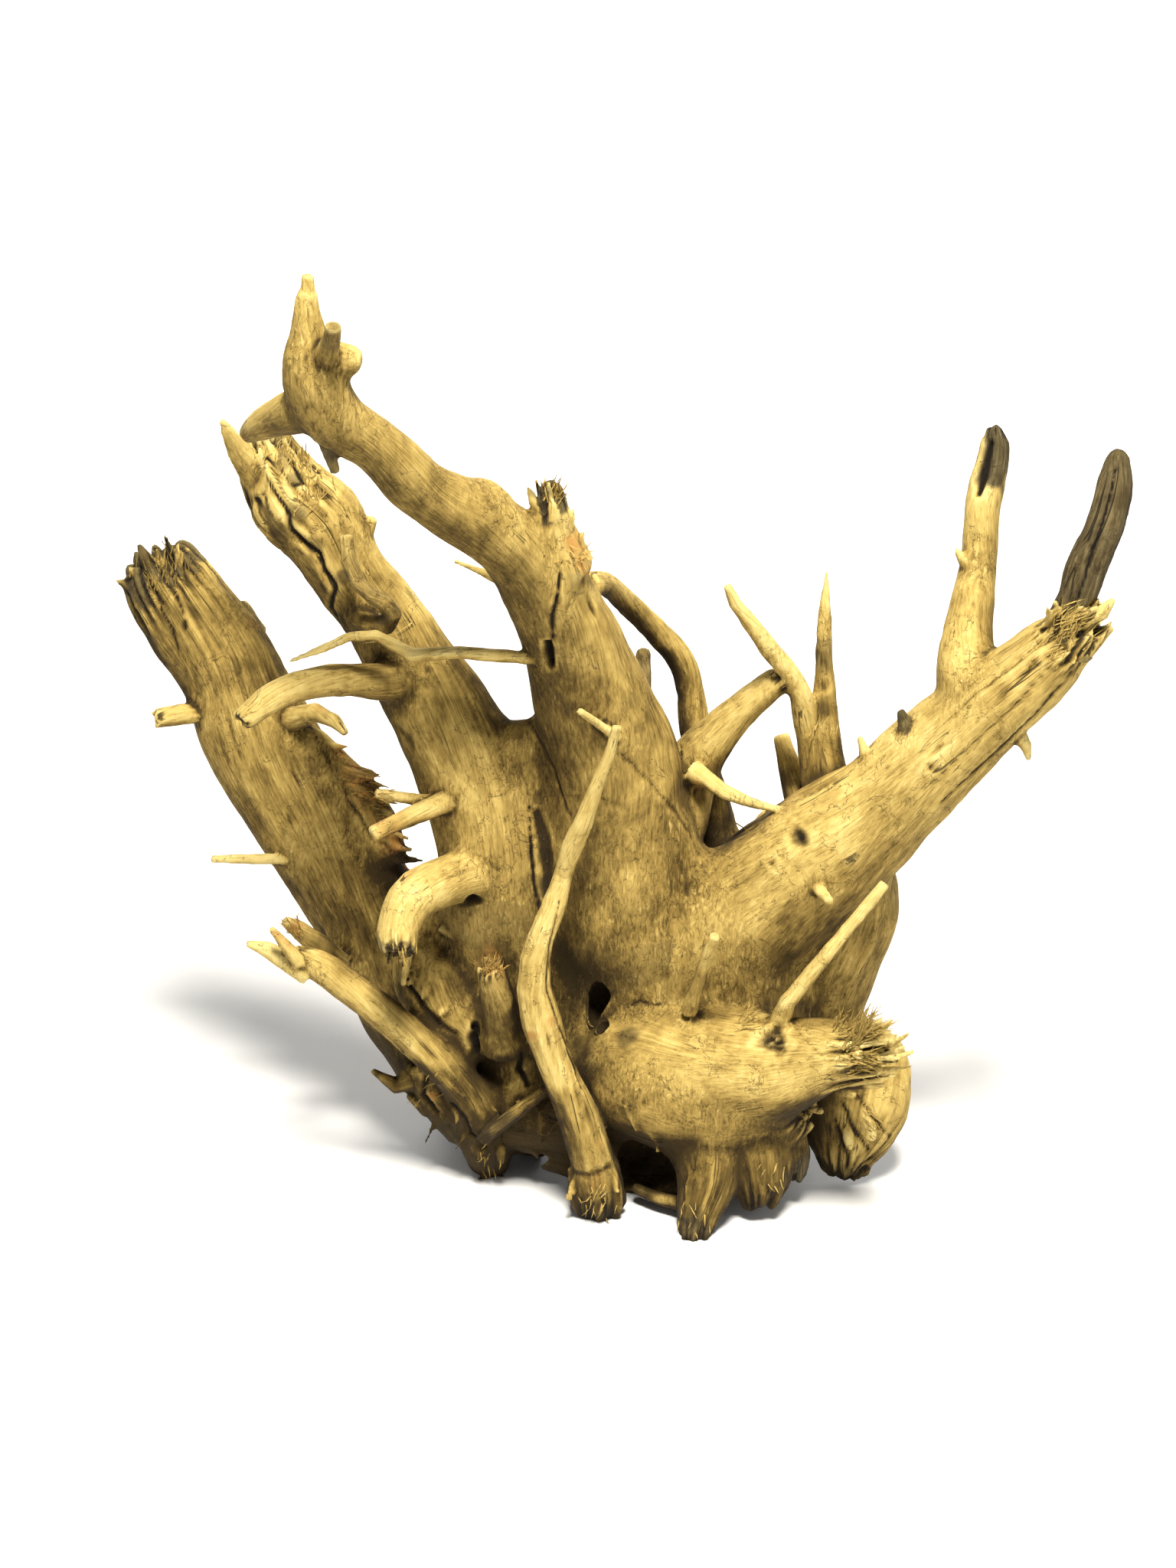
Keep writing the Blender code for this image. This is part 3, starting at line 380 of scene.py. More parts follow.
# Branches, stubs and feet: stouter side roots, blended into the trunk with short soft joints.
branches = {
    "broken_stub": (0.90, [
        (-34, 436, -52, 22), (-39, 462, -62, 14), (-42, 484, -68, 11)]),
    "arm_hump": (1.00, [(-102, 478, -84, 13), (-88, 484, -80, 12), (-74, 474, -74, 13)]),
    "left_spur": (1.00, [
        (-70, 234, 10, 19), (-90, 236, -14, 17), (-112, 230, -34, 16), (-130, 220, -52, 16),
        (-140, 202, -66, 15), (-140, 184, -76, 13)]),
    "finger": (1.00, [
        (-138, 362, 10, 16), (-152, 362, -8, 13), (-175, 363, -22, 11), (-195, 361, -36, 10),
        (-215, 355, -48, 9.5), (-230, 346, -56, 9), (-243, 335, -62, 8.5)]),
    "fork": (1.00, [
        (40, 262, 16, 20), (54, 308, 22, 17), (70, 329, 18, 12.5), (87, 346, 12, 10),
        (102, 358, 8, 9), (110, 364, 5, 8.5)]),
    "behind_fork": (0.80, [
        (54, 322, 46, 9), (58, 292, 44, 14), (64, 262, 42, 17), (70, 236, 36, 20)]),
    "tall_branch": (1.00, [
        (246, 336, -44, 18), (233, 360, -38, 20), (232, 382, -30, 17), (234, 407, -20, 13.5),
        (239, 441, -8, 11), (241, 474, -2, 12), (244, 489, 2, 12.5), (248, 507, 7, 10.5),
        (249.5, 519, 10, 8.5), (250, 529, 12, 5)]),
    "dark_blade": (0.80, [
        (296, 398, -60, 15), (302, 415, -60, 13), (311, 440, -58, 13.5), (322, 467, -54, 12.5),
        (328, 492, -50, 12), (330, 508, -48, 8), (331, 514, -47, 4)]),
    "cracked_spike": (1.00, [
        (141, 290, 6, 14), (139, 322, 10, 11), (139, 347, 12, 7.5), (138, 378, 14, 5.5),
        (139, 407, 16, 3.8)]),
    "pale_twig": (0.90, [
        (134, 292, 14, 10), (127, 332, 10, 7.5), (120, 360, 2, 6.5), (98, 388, -6, 5.5)]),
    "head_prong": (1.00, [
        (-186, 544, -130, 20), (-206, 538, -120, 16), (-219, 534, -106, 12.5), (-230, 529, -92, 10),
        (-239, 523, -80, 6)]),
    "head_stub": (1.00, [
        (-198, 576, -137, 15), (-199, 594, -138, 11.5), (-200, 606, -139, 9), (-199, 618, -140, 6.4)]),
    "head_knob": (1.00, [
        (-186, 572, -136, 14), (-172, 572, -138, 11), (-164, 570, -138, 7.5)]),
    "behind_limb": (1.00, [
        (-16, 425, -20, 9), (-4, 425, 16, 7), (10, 412, 42, 7), (30, 393, 56, 7.5),
        (45, 374, 58, 8), (51, 352, 54, 8), (54, 326, 46, 9)]),
    "lower_strut": (0.90, [
        (-206, 184, -30, 8), (-188, 174, -32, 10), (-171, 162, -33, 10.5), (-146, 143, -34, 11),
        (-123, 123, -34, 11.5), (-104, 105, -32, 12.5), (-88, 86, -28, 15), (-84, 66, -16, 17),
        (-80, 50, -5, 13), (-80, 43, 0, 9)]),
    "left_foot": (1.00, [
        (-118, 116, 0, 20), (-106, 90, -6, 19), (-92, 70, -8, 17)]),
    "torn_plate": (0.60, [
        (-128, 198, 8, 12), (-120, 168, -8, 24), (-102, 142, -13, 26), (-76, 128, -18, 20)]),
    "peg": (1.00, [
        (-72, 126, -22, 17), (-72, 138, -34, 12), (-75, 157, -48, 10), (-80, 176, -58, 8)]),
    "front_foot": (1.00, [
        (50, 84, -46, 27), (60, 58, -60, 26), (61, 34, -72, 20), (56, 14, -82, 15), (53, -6, -88, 12)]),
    "second_foot": (1.00, [
        (82, 76, -44, 28), (92, 52, -54, 26), (95, 36, -60, 21), (95, 23, -63, 13)]),
    "dark_lump": (1.00, [
        (104, 70, -42, 21), (113, 50, -48, 16), (115, 37, -51, 10)]),
    "right_flange": (0.44, [
        (158, 124, 0, 30), (159, 100, -10, 34), (156, 78, -18, 34), (154, 62, -22, 28),
        (152, 48, -26, 18), (152, 38, -28, 7)]),
    "stick_foot": (1.00, [
        (-13, 50, -64, 15), (-10, 37, -61, 18), (-9, 25, -59, 18), (-9, 14, -57, 13)]),
    "stick_root": (0.80, [
        (-12, 46, -64, 11), (-4, 58, -36, 12), (6, 74, -6, 18)]),
}
branch_tubes = []
for name, (flat, rows) in branches.items():
    rows = [sighted(*row) for row in rows]
    branch_tubes.append(tube(rows, flat, sides=14, smooth=True))
    limbs[name] = (flat, finer(rows))
skin = softened(fused([skin] + branch_tubes, voxel=0.0028), joint=0.012, passes=12, swell=0.0005)

# Twigs and thorns: thin side roots, dry and brittle, most of them snapped off short.
twigs = {
    "front_stick": [
        (3, 333, -74, 3.4), (-2, 313, -73, 4), (-11, 293, -71, 5), (-19, 270, -67, 6.5),
        (-27, 253, -62, 6.4), (-32, 237, -58, 6), (-39, 213, -62, 8), (-46, 196, -64, 8.4),
        (-50, 182, -65, 9.4), (-51, 162, -65, 10.8), (-46, 141, -65, 12), (-40, 121, -65, 11.4),
        (-30, 96, -66, 12.6), (-20, 72, -66, 14), (-13, 50, -64, 15)],
    "crossing_twig": [
        (-36, 374, -30, 6), (-51, 377, -42, 4.8), (-78, 379, -44, 4.6), (-100, 381, -43, 4.6),
        (-130, 379, -38, 4.8), (-142, 385, -35, 4.6), (-155, 392, -32, 4.4),
        (-172, 391, -34, 3.6), (-190, 383, -40, 2.6), (-211, 375, -46, 1.2)],
    "bent_branchlet": [
        (-166, 402, 14, 9), (-157, 398, -8, 8), (-148, 399, -17, 7.4), (-144, 406, -21, 7),
        (-149, 413, -22, 6.4), (-158, 418, -20, 6), (-167, 427, -17, 5.8), (-172, 441, -13, 5.4),
        (-174, 458, -9, 4.6)],
    "short_twig": [(-110, 283, -12, 5), (-122, 284, -14, 4), (-155, 289, -24, 3.4)],
    "gap_stub": [(-100, 286, -8, 9), (-113, 282, -18, 7), (-136, 272, -30, 6), (-157, 262, -40, 5.2)],
    "arm_stub": [(-262, 342, 74, 8), (-281, 341, 64, 7.2), (-298, 338, 56, 6.6)],
    "thin_side_twig": [(-192, 246, 54, 4.5), (-213, 246, 42, 3.6), (-262, 246, 30, 2.6)],
    "arm_knob": [(-262, 396, 90, 15), (-243, 402, 96, 14), (-234, 391, 102, 11)],
    "arm_curl": [(-212, 336, 64, 8), (-194, 342, 42, 6), (-181, 336, 28, 4.6), (-174, 328, 20, 2.6)],
    "behind_tip": [(-62, 424, -36, 5), (-77, 430, -30, 3.4), (-104, 441, -34, 1.2)],
    "behind_spike": [(6, 336, 4, 8), (20, 356, 36, 6), (20, 382, 54, 4.4)],
    "down_twig": [(-191, 536, -130, 7), (-187, 516, -126, 5), (-181, 498, -122, 3.6)],
    "head_stub_tip": [(-200, 598, -138, 7.5), (-199, 614, -139, 5.6), (-199, 628, -140, 4.6)],
    "head_cut_stub": [(-188, 572, -144, 9), (-183, 586, -158, 6.6), (-182, 594, -165, 5.8)],
    "left_splinter": [(-232, 494, 24, 10), (-244, 512, 16, 8), (-251, 525, 10, 5.4), (-255, 533, 8, 2)],
    "arm_bump": [(-172, 448, 30, 10), (-160, 462, 30, 6), (-156, 469, 30, 3.4)],
    "fork_thread": [
        (52, 303, 2, 8), (60, 299, -4, 6), (73, 290, -8, 4.6), (90, 283, -12, 3.2),
        (118, 276, -18, 1.4)],
    "pale_twig_tip": [
        (103, 382, -4, 6.2), (90, 400, -9, 5.4), (80, 413, -13, 4.8), (75, 425, -15, 3.2)],
    "spike_tip": [(138, 392, 15, 5), (139, 414, 16, 3.2), (140, 434, 18, 1.2)],
    "stub_behind": [(128, 258, 8, 12), (119, 294, 34, 8.5), (110, 327, 46, 5)],
    "small_twig": [(12, 320, -28, 5), (1, 327, -42, 3.8), (-22, 343, -60, 2.4)],
    "nose_peg": [(50, 146, -50, 6), (55, 163, -60, 4.6), (67, 196, -76, 3.4)],
    "long_side_stick": [
        (108, 136, -60, 8), (114, 152, -70, 6), (140, 184, -74, 5.2), (178, 230, -66, 3.6)],
    "small_peg": [(132, 232, -34, 5), (136, 225, -52, 4), (142, 218, -66, 2.8)],
    "strut_tip": [
        (-198, 172, -30, 8.5), (-212, 180, -30, 7), (-226, 187, -30, 5), (-239, 191, -30, 2.2)],
    "strut_splinter": [(-204, 178, -36, 5), (-214, 190, -40, 4), (-223, 201, -43, 2)],
    "strut_back_strip": [(-178, 176, 14, 9), (-192, 190, 6, 8), (-205, 200, 0, 6), (-214, 206, -4, 3)],
    "grey_splinter": [(-84, 64, -34, 6), (-76, 70, -42, 5.5), (-58, 84, -48, 5.5), (-40, 98, -52, 4)],
    "down_peg": [(-54, 80, -10, 8), (-56, 64, -20, 5), (-55, 55, -24, 3)],
    "low_strip": [(52, 20, -72, 6), (40, 22, -66, 5), (26, 26, -58, 4), (14, 32, -50, 3)],
    "lower_teeth_1": [(-140, 120, -8, 8), (-152, 112, -12, 4.5), (-160, 117, -12, 1.8)],
    "lower_teeth_2": [(-128, 104, -8, 9), (-142, 98, -10, 5.5), (-157, 108, -10, 1.8)],
    "lower_teeth_3": [(-108, 84, -10, 9), (-122, 84, -12, 6), (-134, 92, -12, 2)],
    "thorn_1": [(202, 318, -36, 8), (192, 331, -40, 5.6), (188, 343, -42, 2.4)],
    "thorn_2": [(174, 294, -24, 8), (166, 312, -28, 4), (161, 326, -30, 1.6)],
    "thorn_3": [(258, 336, -50, 8), (270, 320, -52, 3.6), (272, 311, -52, 1.4)],
    "thorn_4": [(236, 436, -12, 8), (227, 444, -14, 3), (224, 449, -14, 1.4)],
    "collar_flare": [(308, 400, -64, 9), (320, 407, -70, 5), (327, 416, -72, 2)],
    "collar_end": [(302, 386, -60, 12), (316, 390, -62, 7), (326, 398, -63, 3)],
}
twig_tubes = []
for name, rows in twigs.items():
    rows = [sighted(*row) for row in rows]
    flat = 0.45 if name == "left_splinter" else 1.0
    twig_tubes.append(tube(rows, flat, sides=10, smooth=False))
    limbs[name] = (1.0, np.array([(*point, radius) for point, radius in rows]))

# Splinters that stand in the broken ends, where the wood tore along its grain: foot and tip as
# (across, up, back), and the foot's radius, in millimetres. All are made thinner than that, those
# of the nose most of all.
splinters = {
    "left_arm_end": [
        ((-306, 420, 93), (-324, 428, 85), 9), ((-304, 430, 87), (-317, 438, 83), 8),
        ((-300, 436, 95), (-307, 442, 89), 9), ((-294, 436, 83), (-298, 449, 81), 7),
        ((-290, 438, 91), (-291, 457, 87), 8), ((-284, 434, 85), (-284, 453, 83), 6),
        ((-276, 428, 91), (-277, 446, 89), 7), ((-272, 424, 99), (-268, 443, 97), 7),
        ((-268, 416, 91), (-266, 430, 89), 8), ((-296, 430, 105), (-302, 444, 103), 8)],
    "second_arm_end": [
        ((-222, 508, 24), (-228, 523, 20), 7), ((-214, 506, 28), (-214, 523, 24), 6),
        ((-208, 500, 34), (-204, 517, 30), 6.5), ((-202, 490, 26), (-196, 508, 22), 6.5),
        ((-196, 478, 34), (-188, 494, 32), 6), ((-188, 466, 28), (-178, 478, 26), 6),
        ((-214, 500, 42), (-210, 518, 42), 7), ((-232, 500, 32), (-240, 514, 30), 8)],
    "top_arm_stub": [
        ((-50, 478, -72), (-56, 490, -75), 7), ((-46, 480, -66), (-50, 494, -68), 7),
        ((-40, 480, -74), (-42, 493, -76), 6), ((-36, 474, -66), (-33, 488, -68), 7),
        ((-30, 462, -66), (-25, 475, -68), 7), ((-24, 448, -60), (-19, 460, -62), 7)],
    "right_arm_end": [
        ((300, 396, -67), (314, 408, -71), 8), ((306, 392, -55), (320, 402, -53), 8),
        ((304, 400, -61), (312, 416, -63), 7), ((292, 404, -67), (288, 418, -75), 5),
        ((286, 400, -67), (284, 412, -77), 5)],
    "nose_end": [
        ((166, 126, -84), (186, 144, -96), 8), ((172, 120, -84), (196, 133, -98), 8),
        ((172, 112, -84), (202, 122, -96), 8), ((162, 130, -80), (174, 150, -88), 7),
        ((170, 106, -80), (197, 111, -88), 8), ((158, 98, -74), (182, 98, -80), 8),
        ((168, 132, -90), (180, 146, -98), 6), ((176, 116, -92), (198, 127, -102), 6)],
    "torn_edge_teeth": [
        ((-184, 320, 54), (-171, 319, 48), 6), ((-170, 302, 46), (-156, 299, 40), 7),
        ((-162, 290, 43), (-149, 283, 37), 6), ((-156, 278, 39), (-143, 276, 34), 6),
        ((-150, 268, 36), (-137, 262, 31), 7), ((-144, 254, 31), (-129, 252, 27), 6),
        ((-140, 246, 29), (-124, 245, 25), 6)],
    "fork_end": [((108, 362, 6), (112, 370, 4), 5)],
    "spur_end": [
        ((-144, 188, -74), (-148, 176, -80), 6), ((-136, 188, -76), (-136, 175, -82), 6),
        ((-130, 190, -70), (-130, 180, -76), 5)],
    "plate_end": [
        ((-122, 176, -26), (-136, 158, -32), 6), ((-134, 180, -22), (-138, 158, -28), 5)],
    "skirt_end": [
        ((36, 68, -54), (33, 51, -56), 7), ((25, 70, -48), (20, 57, -50), 6),
        ((14, 74, -42), (7, 62, -44), 6), ((128, 88, -62), (136, 78, -62), 6)],
    "flange_end": [
        ((170, 78, -16), (186, 66, -18), 8), ((160, 56, -18), (172, 50, -20), 8),
        ((172, 96, -10), (192, 100, -12), 9)],
}

def splinter_rows(foot, tip, radius, sunk=0.010):
    """A splinter's centre line, sunk below its foot and thinner towards its tip."""
    start, _ = sighted(*foot)
    end, _ = sighted(*tip)
    start = start - (end - start).normalized() * sunk
    return [(start, radius * mm), (start.lerp(end, 0.6), radius * mm * 0.72), (end, radius * mm * 0.2)]


for place, teeth in splinters.items():
    thinned = 0.45 if place == "nose_end" else 0.75
    for number, (foot, tip, radius) in enumerate(teeth):
        rows = splinter_rows(foot, tip, radius * thinned)
        twig_tubes.append(tube(rows, 0.6, sides=8, smooth=False))
        limbs[f"{place}_{number}"] = (0.8, np.array([(*point, radius) for point, radius in rows]))

# Tatters: thin torn flakes and teeth of wood at the hems and broken edges, set on the front of the
# skin. Each is (foot, tip) as (across, up), its half width and how far its tip lifts off. Small
# ones lie all over the crumbled base on the left, and one long splinter beside the front stick.
tatters = [
    ((12, 76), (16, 64), 4, 1), ((26, 64), (31, 52), 4, 1), ((-240, 505), (-258, 531), 4, 2),
    ((-234, 504), (-242, 528), 4, 4), ((-228, 500), (-231, 518), 3.4, 4),
    ((148, 122), (172, 137), 3.2, 6), ((152, 112), (184, 128), 3.4, 6),
    ((150, 104), (190, 117), 3.4, 7), ((146, 98), (176, 104), 3.4, 6), ((140, 92), (160, 92), 3, 5),
    ((156, 126), (182, 147), 2.6, 6), ((160, 118), (197, 137), 2.6, 8),
    ((158, 108), (198, 122), 2.6, 8), ((154, 100), (188, 108), 2.8, 7),
    ((-170, 314), (-158, 312), 3.4, 8), ((-164, 304), (-150, 300), 3.6, 9),
    ((-158, 296), (-145, 292), 3.2, 8), ((-154, 286), (-140, 282), 3.6, 9),
    ((-150, 276), (-136, 270), 3.4, 8), ((-146, 264), (-130, 258), 3.4, 8),
    ((-142, 254), (-126, 250), 3, 8), ((-176, 330), (-163, 322), 3, 6),
    ((-136, 186), (-138, 172), 3.4, 6), ((-128, 176), (-134, 162), 3.6, 6),
    ((-120, 162), (-128, 150), 3.4, 5), ((-108, 150), (-116, 140), 3.2, 5),
    ((-100, 178), (-92, 168), 3, 4), ((-104, 196), (-94, 190), 3, 4), ((-96, 140), (-88, 128), 3.4, 4),
    ((272, 384), (292, 398), 3.2, 6), ((280, 378), (302, 392), 3.2, 6), ((286, 372), (310, 388), 3, 7),
    ((290, 368), (318, 380), 2.8, 6), ((276, 392), (290, 408), 2.8, 5),
    ((262, 372), (280, 390), 2.4, 4), ((-96, 66), (-104, 54), 4, 5), ((-84, 58), (-90, 46), 4, 5),
    ((-74, 60), (-72, 46), 4, 5), ((-24, 36), (-30, 22), 3.6, 4), ((-12, 44), (-16, 28), 3.6, 5),
    ((0, 40), (4, 26), 3.4, 4), ((-4, 60), (2, 46), 3, 4), ((50, 40), (46, 20), 4, 5),
    ((64, 40), (66, 22), 4, 5), ((150, 74), (156, 56), 4, 4), ((164, 76), (172, 60), 4, 4)]
flake_chance = np.random.default_rng(11)
flake_count = 34
for _ in range(flake_count):
    foot = (float(flake_chance.uniform(-132, -24)), float(flake_chance.uniform(18, 100)))
    turn = math.radians(flake_chance.uniform(-135, -45))
    long = float(flake_chance.uniform(8, 18))
    tip = (foot[0] + long * math.cos(turn), foot[1] + long * math.sin(turn))
    tatters.append((foot, tip, float(flake_chance.uniform(2.4, 4.2)), 1.0))


def ray_tree(mesh):
    """A search tree of a mesh's faces, for lines that have to hit it."""
    return BVHTree.FromPolygons([vertex.co[:] for vertex in mesh.vertices],
                                [polygon.vertices[:] for polygon in mesh.polygons])


def hit_from_eye(across, up):
    """Where the line of sight through a point of the picture meets the skin, and its way."""
    aim = (sighted(across, up, 0)[0] - eye).normalized()
    return tree_of_skin.ray_cast(eye, aim)[0], aim


tree_of_skin = ray_tree(skin)
for foot, tip, half_width, lift in tatters:
    found, _ = hit_from_eye(*foot)
    if found is None:
        continue
    back = (found.y - stump_zero.y) / mm
    rows = splinter_rows((*foot, back + 1), (*tip, back - lift), half_width)
    twig_tubes.append(tube(rows, 0.5, sides=8, smooth=False))
long_splinter = [sighted(9, 167, -28, 5), sighted(0, 152, -33, 4.6), sighted(-13, 133, -34, 3)]
twig_tubes.append(tube(long_splinter, 0.6, sides=8, smooth=False))

# The hollow under the stump and the dark mouths between its feet, where the root crown rotted out:
# rough ellipsoids taken out of the body, as (across, up, back) and half sizes in millimetres.
hollows = [((-6, 62, 34), (48, 46, 62)), ((20, 44, -46), (23, 24, 24)), ((-46, 62, -6), (13, 30, 15)),
           ((146, 84, -58), (18, 16, 9)), ((-8, 147, -28), (7, 13, 22)), ((62, 282, -6), (12, 14, 16))]
hollow_shape = bmesh.new()
for (across, up, back), half in hollows:
    middle, _ = sighted(across, up, back)
    ball = bmesh.ops.create_icosphere(hollow_shape, subdivisions=4, radius=1.0)["verts"]
    bmesh.ops.scale(hollow_shape, vec=[size * mm for size in half], verts=ball)
    for vert in ball:
        vert.co *= 1.0 + 0.22 * noise.noise(vert.co * 95.0) + 0.16 * noise.noise(vert.co * 240.0)
    bmesh.ops.translate(hollow_shape, vec=middle, verts=ball)
hollow_mesh = bpy.data.meshes.new("hollow")
hollow_shape.to_mesh(hollow_mesh)
hollow_shape.free()
hollow_mesh = with_modifiers(hollow_mesh, ("REMESH", {"mode": "VOXEL", "voxel_size": 0.003}))
hollow = placed("hollow", hollow_mesh)
taken_out = {"operation": "DIFFERENCE", "object": hollow, "solver": "EXACT"}
skin = with_modifiers(skin, ("BOOLEAN", taken_out))
bpy.data.objects.remove(hollow)

# The fused skin: everything above in one closed surface, fine enough for its cracks and grain.
skin_voxel = 0.0015
skin = fused([skin] + twig_tubes, skin_voxel)
skin = with_modifiers(skin, ("SMOOTH", {"factor": 0.5, "iterations": 2}))


def outer_shell(mesh):
    """Keep the largest connected shell, without sealed hollows or loose scraps."""
    edges = vertex_values(mesh.edges, "vertices", 2)
    shell = np.arange(len(mesh.vertices))
    while True:
        low = np.minimum(shell[edges[:, 0]], shell[edges[:, 1]])
        before = shell.copy()
        np.minimum.at(shell, edges[:, 0], low)
        np.minimum.at(shell, edges[:, 1], low)
        shell = shell[shell]
        if (shell == before).all():
            break
    names, counts = np.unique(shell, return_counts=True)
    kept = names[np.argmax(counts)]
    shape = bmesh.new()
    shape.from_mesh(mesh)
    shape.verts.ensure_lookup_table()
    scraps = [shape.verts[i] for i in np.nonzero(shell != kept)[0]]
    bmesh.ops.delete(shape, geom=scraps, context="VERTS")
    shape.to_mesh(mesh)
    shape.free()


outer_shell(skin)
places = vertex_values(skin.vertices, "co", 3)
normals = vertex_values(skin.vertex_normals, "vector", 3)


# Weathering: water and sand have worn the wood between its fibres, so the surface has lengthwise
# grooves and ridges, soft lumps, knots, and long cracks. All of it is moved in the mesh.
def speckle(cells):
    """A repeatable random number from -1 to 1 for each whole-numbered cell."""
    mixed = cells[:, 0] * 374761393 + cells[:, 1] * 668265263 + cells[:, 2] * 1440662683
    mixed = (mixed ^ (mixed >> 13)) * 1274126177 & 0x7FFFFFFF
    mixed ^= mixed >> 16
    return (mixed & 0xFFFF) / 32767.5 - 1.0


def drift(at):
    """Smooth noise from -1 to 1 at the given places, one cell to a unit."""
    cell = np.floor(at)
    part = at - cell
    part = part * part * part * (part * (part * 6 - 15) + 10)
    cell = cell.astype(np.int64)
    total = np.zeros(len(at))
    for corner in np.ndindex(2, 2, 2):
        share = np.prod(np.where(np.array(corner) == 1, part, 1 - part), axis=1)
        total += share * speckle(cell + corner)
    return total


near, second = nearest_limbs(places)
limb_names = list(limbs)
blend_width = 0.012                              # over which one limb's marks fade into the next's
share_first = np.clip(0.5 + (second["gap"] - near["gap"]) / blend_width, 0.5, 1.0)


def on_limbs(names, limb=near):
    """Which points lie on the named limbs."""
    return np.isin(limb["number"], [limb_names.index(name) for name in names])


def rise(values, low, high):
    """A smooth step from 0 below low to 1 above high."""
    share = np.clip((values - low) / (high - low), 0.0, 1.0)
    return share * share * (3.0 - 2.0 * share)


def both(values):
    """A value of the nearest limb, faded into the next limb's."""
    return share_first * values(near) + (1.0 - share_first) * values(second)


def along_grain(pattern, stretch):
    """A pattern drawn out along each limb by this much."""
    slide = np.array([0.61, 0.53, 0.59]) / stretch
    return both(lambda limb: pattern(limb["cross"] + limb["along"][:, None] * slide
                                     + limb["number"][:, None] * 0.37))


def ridged(at, per_metre):
    """Sharp-topped waves from -1 to 1, this many cells to a metre."""
    return 1.0 - 2.0 * np.abs(drift(at * per_metre))


# Where the picture's lines of sight put each point, for the marks that are read off the front.
sight_line = places - np.array(eye)
depth = sight_line @ np.array(sight)
seen_across = (sight_line[:, 0] / depth * sight_distance + eye_across) / mm
seen_up = (sight_line @ np.array(plane_up) / depth * sight_distance + eye_up) / mm
facing = -(normals * sight_line).sum(axis=1) / np.linalg.norm(sight_line, axis=1)
ragged = drift(places * 110.0 + 31.0)


def seen_spot(spots, limb_list=None):
    """Soft round marks seen from the front, as (across, up, radius), strongest of them all."""
    mask = np.zeros(len(places))
    for across, up, radius in spots:
        gap = np.hypot(seen_across - across, seen_up - up) / radius
        mask = np.maximum(mask, 1.0 - rise(gap + ragged * 0.35, 0.3, 1.2))
    return mask * on_limbs(limb_list) if limb_list else mask


# Where the wood has dried and torn it is frayed into bundles; elsewhere the sand has worn it smooth.
frayed = np.maximum.reduce([
    seen_spot([(-292, 424, 36), (-278, 400, 26)], ("left_arm",)),
    seen_spot([(-206, 500, 34), (-198, 474, 26), (-186, 452, 20), (-182, 424, 12)]),
    seen_spot([(-40, 480, 16), (-26, 452, 16), (-22, 434, 12), (-18, 412, 10)]),
    seen_spot([(304, 396, 22), (290, 384, 22), (274, 366, 20), (256, 350, 18), (238, 332, 16),
               (220, 316, 14)]),
    seen_spot([(318, 470, 34), (306, 420, 18)], ("dark_blade",)),
    seen_spot([(138, 330, 24), (138, 300, 22), (136, 370, 14)],
              ("cracked_spike", "pale_twig", "right_arm")),
    seen_spot([(170, 118, 24), (150, 104, 14), (146, 122, 14)], ("nose",)),
    seen_spot([(156, 66, 36), (160, 92, 20)]),
    seen_spot([(-11, 30, 26), (-22, 80, 16)]),
    seen_spot([(56, 24, 24), (92, 32, 20), (116, 44, 14)]),
    seen_spot([(-84, 60, 28), (-104, 92, 20), (-130, 110, 22), (-198, 186, 16)]),
    seen_spot([(-140, 186, 12), (-77, 178, 12)]),
    seen_spot([(-176, 322, 12), (-166, 304, 14), (-162, 286, 14), (-152, 272, 12), (-144, 254, 12),
               (-136, 238, 10)])])
frayed = np.maximum(frayed, 0.6 * (second["gap"] < 1.0) * rise(places[:, 2], 0.10, 0.02))
full_relief = 0.026                              # a thinner limb is worn less deep
relief = both(lambda limb: np.minimum(1.0, limb["radius"] / full_relief))
solo = rise(second["gap"] - near["gap"], 0.001, 0.014)

calm_limbs = ("nose", "belly", "web", "trunk_left", "trunk_middle", "trunk_right", "left_spur",
              "top_arm")
lumps = drift(places * 15.0) * 3.2 + drift(places * 36.0 + 7.0) * 1.7
upright = places * np.array([1.0, 1.0, 0.30])
wrinkles = ridged(upright + 0.003 * ragged[:, None], 80.0) * 0.34 + ridged(upright + 2.0, 210.0) * 0.16
ridges = along_grain(lambda at: ridged(at, 52.0), 7.0) * 0.9
grooves = along_grain(lambda at: ridged(at + 3.0, 130.0), 9.0) * 0.40
torn = along_grain(lambda at: -np.abs(drift(at * 135.0 + 5.0)), 14.0) * 2.2
torn_fine = along_grain(lambda at: drift(at * 330.0 + 9.0), 14.0) * 0.6
worn = relief * lumps + wrinkles
calm = 1.0 - 0.7 * both(lambda limb: on_limbs(calm_limbs, limb) * 1.0)
height = worn + solo * calm * (relief * (ridges - 0.3) + np.sqrt(relief) * grooves)
height += frayed * np.sqrt(relief) * (torn + torn_fine + 0.5)

# Long thin drying cracks, which open here and there along the grain.
crack_lines = along_grain(lambda at: np.abs(drift(at * 48.0 + 11.0)), 9.0)
crack_places = np.maximum(rise(drift(places * 17.0 + 3.0), 0.30, 0.62) * 0.8 * calm, frayed)
drying_cracks = (1.0 - rise(crack_lines, 0.010, 0.050)) * crack_places * np.sqrt(relief) * solo
height -= drying_cracks * 1.6


